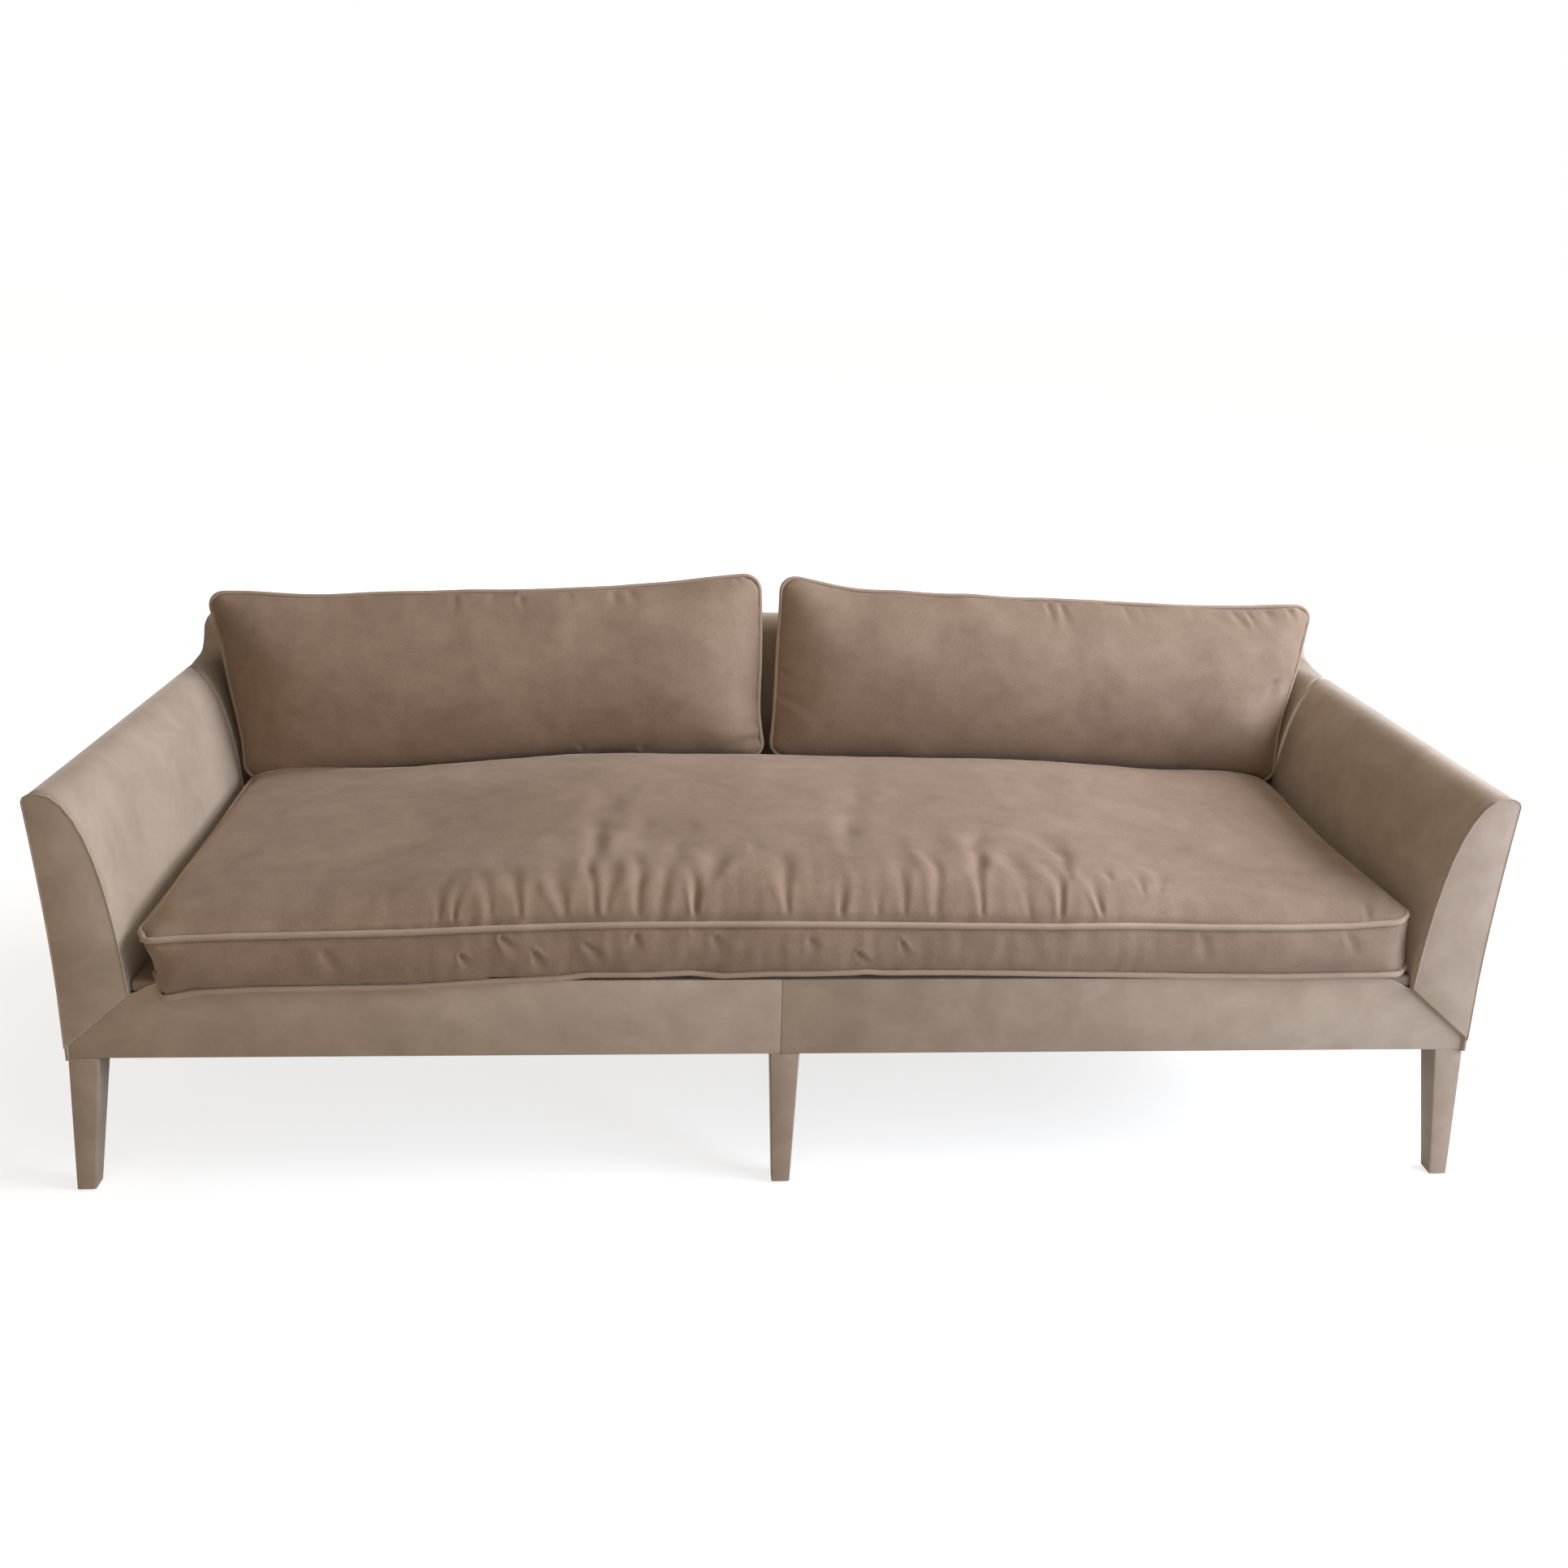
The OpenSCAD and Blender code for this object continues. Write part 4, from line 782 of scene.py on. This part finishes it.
def cushion(name, voxel, form, held, pressure, cap, zones, face_fill, boxing_fill):
    """Cover of one cushion: the CAD cover's outer shape, remeshed, blown up, filled, folded and set in its
    form. Returns it and the lines of its two piped seams."""
    bm = copy_of(name + "_cover")
    parts = sorted(islands(bm), key=lambda g: max(v.co.x for v in g) - min(v.co.x for v in g))
    bmesh.ops.delete(bm, geom=[v for g in parts[:-1] for v in g], context="VERTS")
    bm.normal_update()
    ridges = [e for e in bm.edges if e.is_manifold and e.calc_face_angle() > RIDGE_ANGLE]
    seams = []
    for run in loops(ridges):
        if len(run) > SEAM_VERTS:
            for v in run:
                v.co -= PIPING * v.normal
            seams.append(evened([v.co.copy() for v in run], SEAM_STEP))
    seams.sort(key=lambda seam: sum(p.y - p.z for p in seam) / len(seam))
    fill_middle(bm, name)
    piece = as_piece(bm, name + "_velvet", "cushion_velvet", name)
    remesh = piece.modifiers.new("voxels", "REMESH")
    remesh.mode = "VOXEL"
    remesh.voxel_size = voxel
    applied(piece)
    off_seam = near([p for seam in seams for p in seam])
    relax(piece, off_seam)

    def held_or_sewn(co, normal):
        return max(held(co, normal), 1 - eased((off_seam(co) - SEWN) / SEWN_BLEND))

    puff(piece, held_or_sewn, pressure, cap)
    sub = piece.modifiers.new("smooth", "SUBSURF")
    sub.levels = sub.render_levels = 1
    applied(piece)
    plump(piece, seams, face_fill, boxing_fill)
    if zones is SEAT_ZONES:
        finer_front(piece)
    fold_cover(piece, zones)
    for v in piece.data.vertices:
        v.co = form(v.co)
    lay_under_zip(piece, name)
    piece.data.shade_smooth()
    return piece, [[form(p) for p in seam] for seam in seams]


def seat_held(co, normal):
    """The seat rests on the deck, and its rear is under the back cushions."""
    return max(eased(-2 * normal.z), eased((co.y - 0.12) / 0.08))


def back_held(co, normal):
    """A back cushion leans on the back and stands on the seat."""
    return max(eased(2 * normal.y), eased(-2 * normal.z))


# Where folds lie, by the place and the normal of the cloth
BOXING_GAIN = 1.6  # how much deeper the folds of the seat's boxing are made


def soft_step(v, low, high):
    t = np.clip((v - low) / (high - low), 0, 1)
    return t * t * (3 - 2 * t)


def on_top(co, normal):
    above_seam = soft_step(co[:, 2], SEAT_TOP_SEAM + 2 * MM, SEAT_TOP_SEAM + 12 * MM)
    return above_seam * soft_step(normal[:, 2], 0, 0.3)


def on_boxing(co, normal):
    return BOXING_GAIN * (
        soft_step(-normal[:, 1], 0.5, 0.9) * soft_step(co[:, 2], seat_lo.z + 6 * MM, seat_lo.z + 16 * MM)
        * (1 - soft_step(co[:, 2], SEAT_TOP_SEAM - 12 * MM, SEAT_TOP_SEAM - 2 * MM)))


def on_front(co, normal):
    return soft_step(-normal[:, 1], 0.2, 0.6)


def back_making(side):
    zones = ((on_front, (0, 2), FOLDS["back_cushion_" + side]),)
    return dict(voxel=8 * MM, form=back_form(side), held=back_held, pressure=400, cap=24 * MM, zones=zones,
                face_fill=((1, 15, 40), (0, 0, 1)), boxing_fill=8)


SEAT_ZONES = ((on_top, (0, 1), FOLDS["seat_top"]), (on_boxing, (0, 2), FOLDS["seat_boxing"]))
CUSHIONS = {
    "seat_cushion": dict(voxel=10 * MM, form=seat_form, held=seat_held, pressure=300, cap=10 * MM,
                         zones=SEAT_ZONES, face_fill=((9, 10, 35), (0, 0, 1)), boxing_fill=9),
    "back_cushion_left": back_making("left"),
    "back_cushion_right": back_making("right"),
}
for name, making in CUSHIONS.items():
    form = making["form"]
    skin, seams = cushion(name, **making)
    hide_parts(name + "_cover")
    for k, seam in enumerate(seams):
        radius = SEAT_PIPING if name == "seat_cushion" else PIPING
        # The piping's paler tone is painted sheen, not a different dye
        tube(f"{name}_piping_{k}", seam, radius, "cushion_velvet", name, mat=bias_velvet_painted_sheen)
    core = copy_of(name + "_core")
    bmesh.ops.subdivide_edges(core, edges=core.edges, cuts=5, use_grid_fill=True)
    for v in core.verts:
        v.co = form(v.co)
    block = as_piece(core, name + "_foam", "foam", name, smooth=False)
    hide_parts(name + "_core")


FASCIA_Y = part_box("arm_fascia_left")[0].y
LAP = 9 * MM  # of the arm's cloth over the side of the fascia board
LAP_FROM = 10.6 * MM  # behind the fascia's face, where that cloth ends in the CAD
LAP_THICK = 0.5 * MM
CREASE = math.radians(50)  # sharper edges of a panel keep their crease, or are turned over
SHARP = math.radians(38)  # sharper edges of a finished piece aren't shaded smooth


def close_cover(node, name, levels, slot="frame_cloth"):
    """A cloth panel as a smooth skin: the CAD panel's own grid, subdivided, with its edges kept. Cloth of the
    arm is drawn over the side of the fascia board, up to its seam."""
    bm = copy_of(node)
    if "_arm_" in node and slot == "frame_cloth":
        bm.normal_update()
        for v in [v for v in bm.verts if v.co.y < FASCIA_Y + LAP_FROM]:
            v.co += Vector((v.normal.x, 0, v.normal.z)).normalized() * LAP_THICK
            v.co.y -= LAP
    quads(bm)
    crease = bm.edges.layers.float.new("crease_edge")
    for e in bm.edges:
        if e.is_manifold and e.calc_face_angle() > CREASE:
            e[crease] = 1
    piece = as_piece(bm, name, slot, "frame")
    sub = piece.modifiers.new("smooth", "SUBSURF")
    sub.levels = sub.render_levels = levels
    applied(piece)
    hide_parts(node)
    return piece


for side in ("left", "right"):
    close_cover(f"inside_arm_{side}_cover", f"inside_arm_{side}_cloth", 3)
    close_cover(f"outside_arm_{side}_panel", f"outside_arm_{side}_cloth", 2)
    pad = close_cover(f"inside_arm_{side}_pad", f"inside_arm_{side}_foam", 2, slot="foam")
close_cover("inside_back_cover", "inside_back_cloth", 2)
close_cover("inside_back_pad", "inside_back_foam", 1, slot="foam")


BORDER_SEAM = 7 * MM  # from the middle of the sofa, as in the photograph
# Moves that close the outside back's corners against the roll above it: how deep under its top these
# corners lie, where the inner ones end, and their moves in x and z, then the outer ones' in z
NOTCH_DEPTH = (6 * MM, 9 * MM)
NOTCH_INNER = 1.07
BACK_NOTCH = (20 * MM, 7.4 * MM, 2.4 * MM)


def bevelled(node, name, width, segments, slot="frame_cloth", mat=None):
    """A flat panel with its edges turned over."""
    bm = copy_of(node)
    bmesh.ops.dissolve_limit(bm, angle_limit=math.radians(1), verts=bm.verts, edges=bm.edges)
    if "border" in node:
        for v in bm.verts:
            v.co.x -= BORDER_SEAM if abs(v.co.x) < MM else 0
    if "outside_back" in node:
        top = max(v.co.z for v in bm.verts)
        for v in [v for v in bm.verts if NOTCH_DEPTH[0] < top - v.co.z < NOTCH_DEPTH[1]]:
            if abs(v.co.x) < NOTCH_INNER:
                v.co += Vector((math.copysign(BACK_NOTCH[0], v.co.x), 0, BACK_NOTCH[1]))
            else:
                v.co.z += BACK_NOTCH[2]
    sharp = [e for e in bm.edges if e.is_manifold and e.calc_face_angle() > CREASE]
    bmesh.ops.bevel(bm, geom=sharp, offset=width, affect="EDGES", segments=segments, profile=0.5, material=-1)
    piece = as_piece(bm, name, slot, "frame", mat)
    piece.data.set_sharp_from_angle(angle=SHARP)
    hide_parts(node)
    return piece


for side in ("left", "right"):
    bevelled(f"arm_fascia_{side}", f"arm_fascia_{side}_cloth", 2.4 * MM, 3)
    bevelled(f"front_border_{side}", f"front_border_{side}_cloth", 0.8 * MM, 2)
bevelled("outside_back_panel", "outside_back_cloth", 0.8 * MM, 2)
bevelled("deck_pad", "deck_pad_platform", 6 * MM, 3, slot="lining_cloth", mat=drill)


SAME_PLACE = 0.2 * MM
WELT = 1.5 * MM
WELT_SUNK = 0.9 * MM  # how far the welt's middle lies behind the fascia's face


def fascia_outline(side):
    """Front outline of an arm's fascia, from its lower inner corner up and over to its lower outer corner."""
    co = [v.co for v in nodes[f"arm_fascia_{side}"].data.vertices if v.co.y < FASCIA_Y + MM]
    ring = []
    for c in co:
        if all((c - p).length > SAME_PLACE for p in ring):
            ring.append(c.copy())
    middle = sum(ring, Vector()) / len(ring)
    ring.sort(key=lambda c: math.atan2(c.x - middle.x, c.z - middle.z) * (1 if side == "left" else -1))
    foot = min(range(len(ring)), key=lambda k: ring[k].z)
    return ring[foot + 1 :] + ring[: foot + 1]


for side in ("left", "right"):
    line = [Vector((p.x, FASCIA_Y + WELT_SUNK, p.z)) for p in fascia_outline(side)]
    tube(f"arm_{side}_seam_welt", evened(line, SEAM_STEP, closed=False), WELT, "frame_cloth", "frame",
         closed=False, sides=2)


LEG_ROUND = 3 * MM
LEG_EDGE = math.radians(60)  # sharper edges of a leg are its four corners and the rims of its ends


def wrapped_leg(place):
    """Tapered wooden leg wrapped in the cover's cloth, its corners softened by the cloth."""
    co = [v.co for v in nodes[place].data.vertices]
    z = (min(c.z for c in co), max(c.z for c in co))
    bm = bmesh.new()
    bmesh.ops.create_cube(bm, size=2)
    for v in bm.verts:
        level = z[v.co.z > 0]
        ring = [c for c in co if abs(c.z - level) < 0.1 * MM]
        v.co.x = (max if v.co.x > 0 else min)(c.x for c in ring)
        v.co.y = (max if v.co.y > 0 else min)(c.y for c in ring)
        v.co.z = level
    upright = [e for e in bm.edges if abs(e.verts[0].co.z - e.verts[1].co.z) > 0.1]
    bmesh.ops.subdivide_edges(bm, edges=upright, cuts=3)
    sides = [e for e in bm.edges if e.calc_face_angle() > LEG_EDGE and max(v.co.z for v in e.verts) > z[0] + MM]
    bmesh.ops.bevel(bm, geom=sides, offset=LEG_ROUND, affect="EDGES", segments=3, profile=0.5, material=-1)
    piece = as_piece(bm, place + "_cloth", "frame_cloth", "frame")
    piece.data.set_sharp_from_angle(angle=SHARP)
    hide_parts(place)


for row in ("front", "rear"):
    for spot in ("left", "centre", "right"):
        wrapped_leg(f"leg_{row}_{spot}")


# Stage: a pale floor that keeps the shadow and reads white to the camera, a white world, soft lamps
def shown_to_camera(tree):
    """1 for what the camera sees, straight or by way of metal or glass."""
    seen = add(tree, "ShaderNodeLightPath").outputs
    shown = add(tree, "ShaderNodeMath", links={0: seen["Is Camera Ray"], 1: seen["Is Glossy Ray"]},
                operation="ADD")
    return add(tree, "ShaderNodeMath", links={0: shown.outputs[0], 1: seen["Is Transmission Ray"]},
               operation="ADD", use_clamp=True).outputs[0]


def floor_paint(tree, place):
    """White paint that glows to white away from the sofa, so that the floor has no edge."""
    away = add(tree, "ShaderNodeVectorMath", links={0: place}, operation="LENGTH").outputs["Value"]
    white_up = add(tree, "ShaderNodeMapRange",
                   {"From Min": 1.3, "From Max": 3.2, "To Min": 0.76, "To Max": 0.95},
                   {"Value": away}, interpolation_type="SMOOTHSTEP").outputs["Result"]
    glow = add(tree, "ShaderNodeMath", links={0: shown_to_camera(tree), 1: white_up}, operation="MULTIPLY")
    lit = add(tree, "ShaderNodeBsdfDiffuse", {"Color": linear("#bcbcbc")})
    white = add(tree, "ShaderNodeEmission", {"Color": (1, 1, 1, 1)}, {"Strength": glow.outputs[0]})
    return add(tree, "ShaderNodeAddShader", links={0: lit.outputs[0], 1: white.outputs[0]}).outputs[0]


bm = bmesh.new()
bmesh.ops.create_grid(bm, x_segments=1, y_segments=1, size=40)
mesh = bpy.data.meshes.new("floor")
bm.to_mesh(mesh)
bm.free()
mesh.materials.append(material("painted_floor", floor_paint))
floor = bpy.data.objects.new("floor", mesh)
scene.collection.objects.link(floor)


def world_light():
    world = bpy.data.worlds.new("studio")
    world.use_nodes = True
    scene.world = world
    tree = world.node_tree
    tree.nodes.clear()
    soft = add(tree, "ShaderNodeBackground", {"Color": linear("#f4e0c8"), "Strength": 0.15})
    white = add(tree, "ShaderNodeBackground", {"Color": (1, 1, 1, 1), "Strength": 1.0})
    mix = add(tree, "ShaderNodeMixShader",
              links={0: shown_to_camera(tree), 1: soft.outputs[0], 2: white.outputs[0]})
    add(tree, "ShaderNodeOutputWorld", links={"Surface": mix.outputs[0]})


def lamp(name, place, target, size, watts, colour):
    light = bpy.data.lights.new(name, "AREA")
    light.shape = "RECTANGLE"
    light.size, light.size_y = size
    light.energy = watts
    light.color = linear(colour)[:3]
    obj = bpy.data.objects.new(name, light)
    obj.location = place
    obj.rotation_mode = "QUATERNION"
    obj.rotation_quaternion = (Vector(target) - Vector(place)).to_track_quat("-Z", "Y")
    obj.visible_camera = False
    scene.collection.objects.link(obj)


world_light()
lamp("window_right", (4.6, -0.5, 3.0), (-0.2, 0.0, 0.4), (2.8, 2.8), 360, "#eff4fe")
lamp("window_near", (1.9, -1.35, 1.2), (0.95, -0.35, 0.5), (0.8, 0.9), 24, "#dde8fd")
lamp("room_front", (-1.1, -4.2, 0.7), (0.0, 0.0, 0.4), (3.0, 2.0), 50, "#f6dfc6")
lamp("room_rear", (-1.0, 4.2, 1.2), (0.0, 0.0, 0.4), (3.0, 2.0), 30, "#f6e6d4")
lamp("ceiling", (0.5, -0.2, 3.0), (0.2, 0.0, 0.3), (3.0, 2.0), 24, "#fdf3e4")
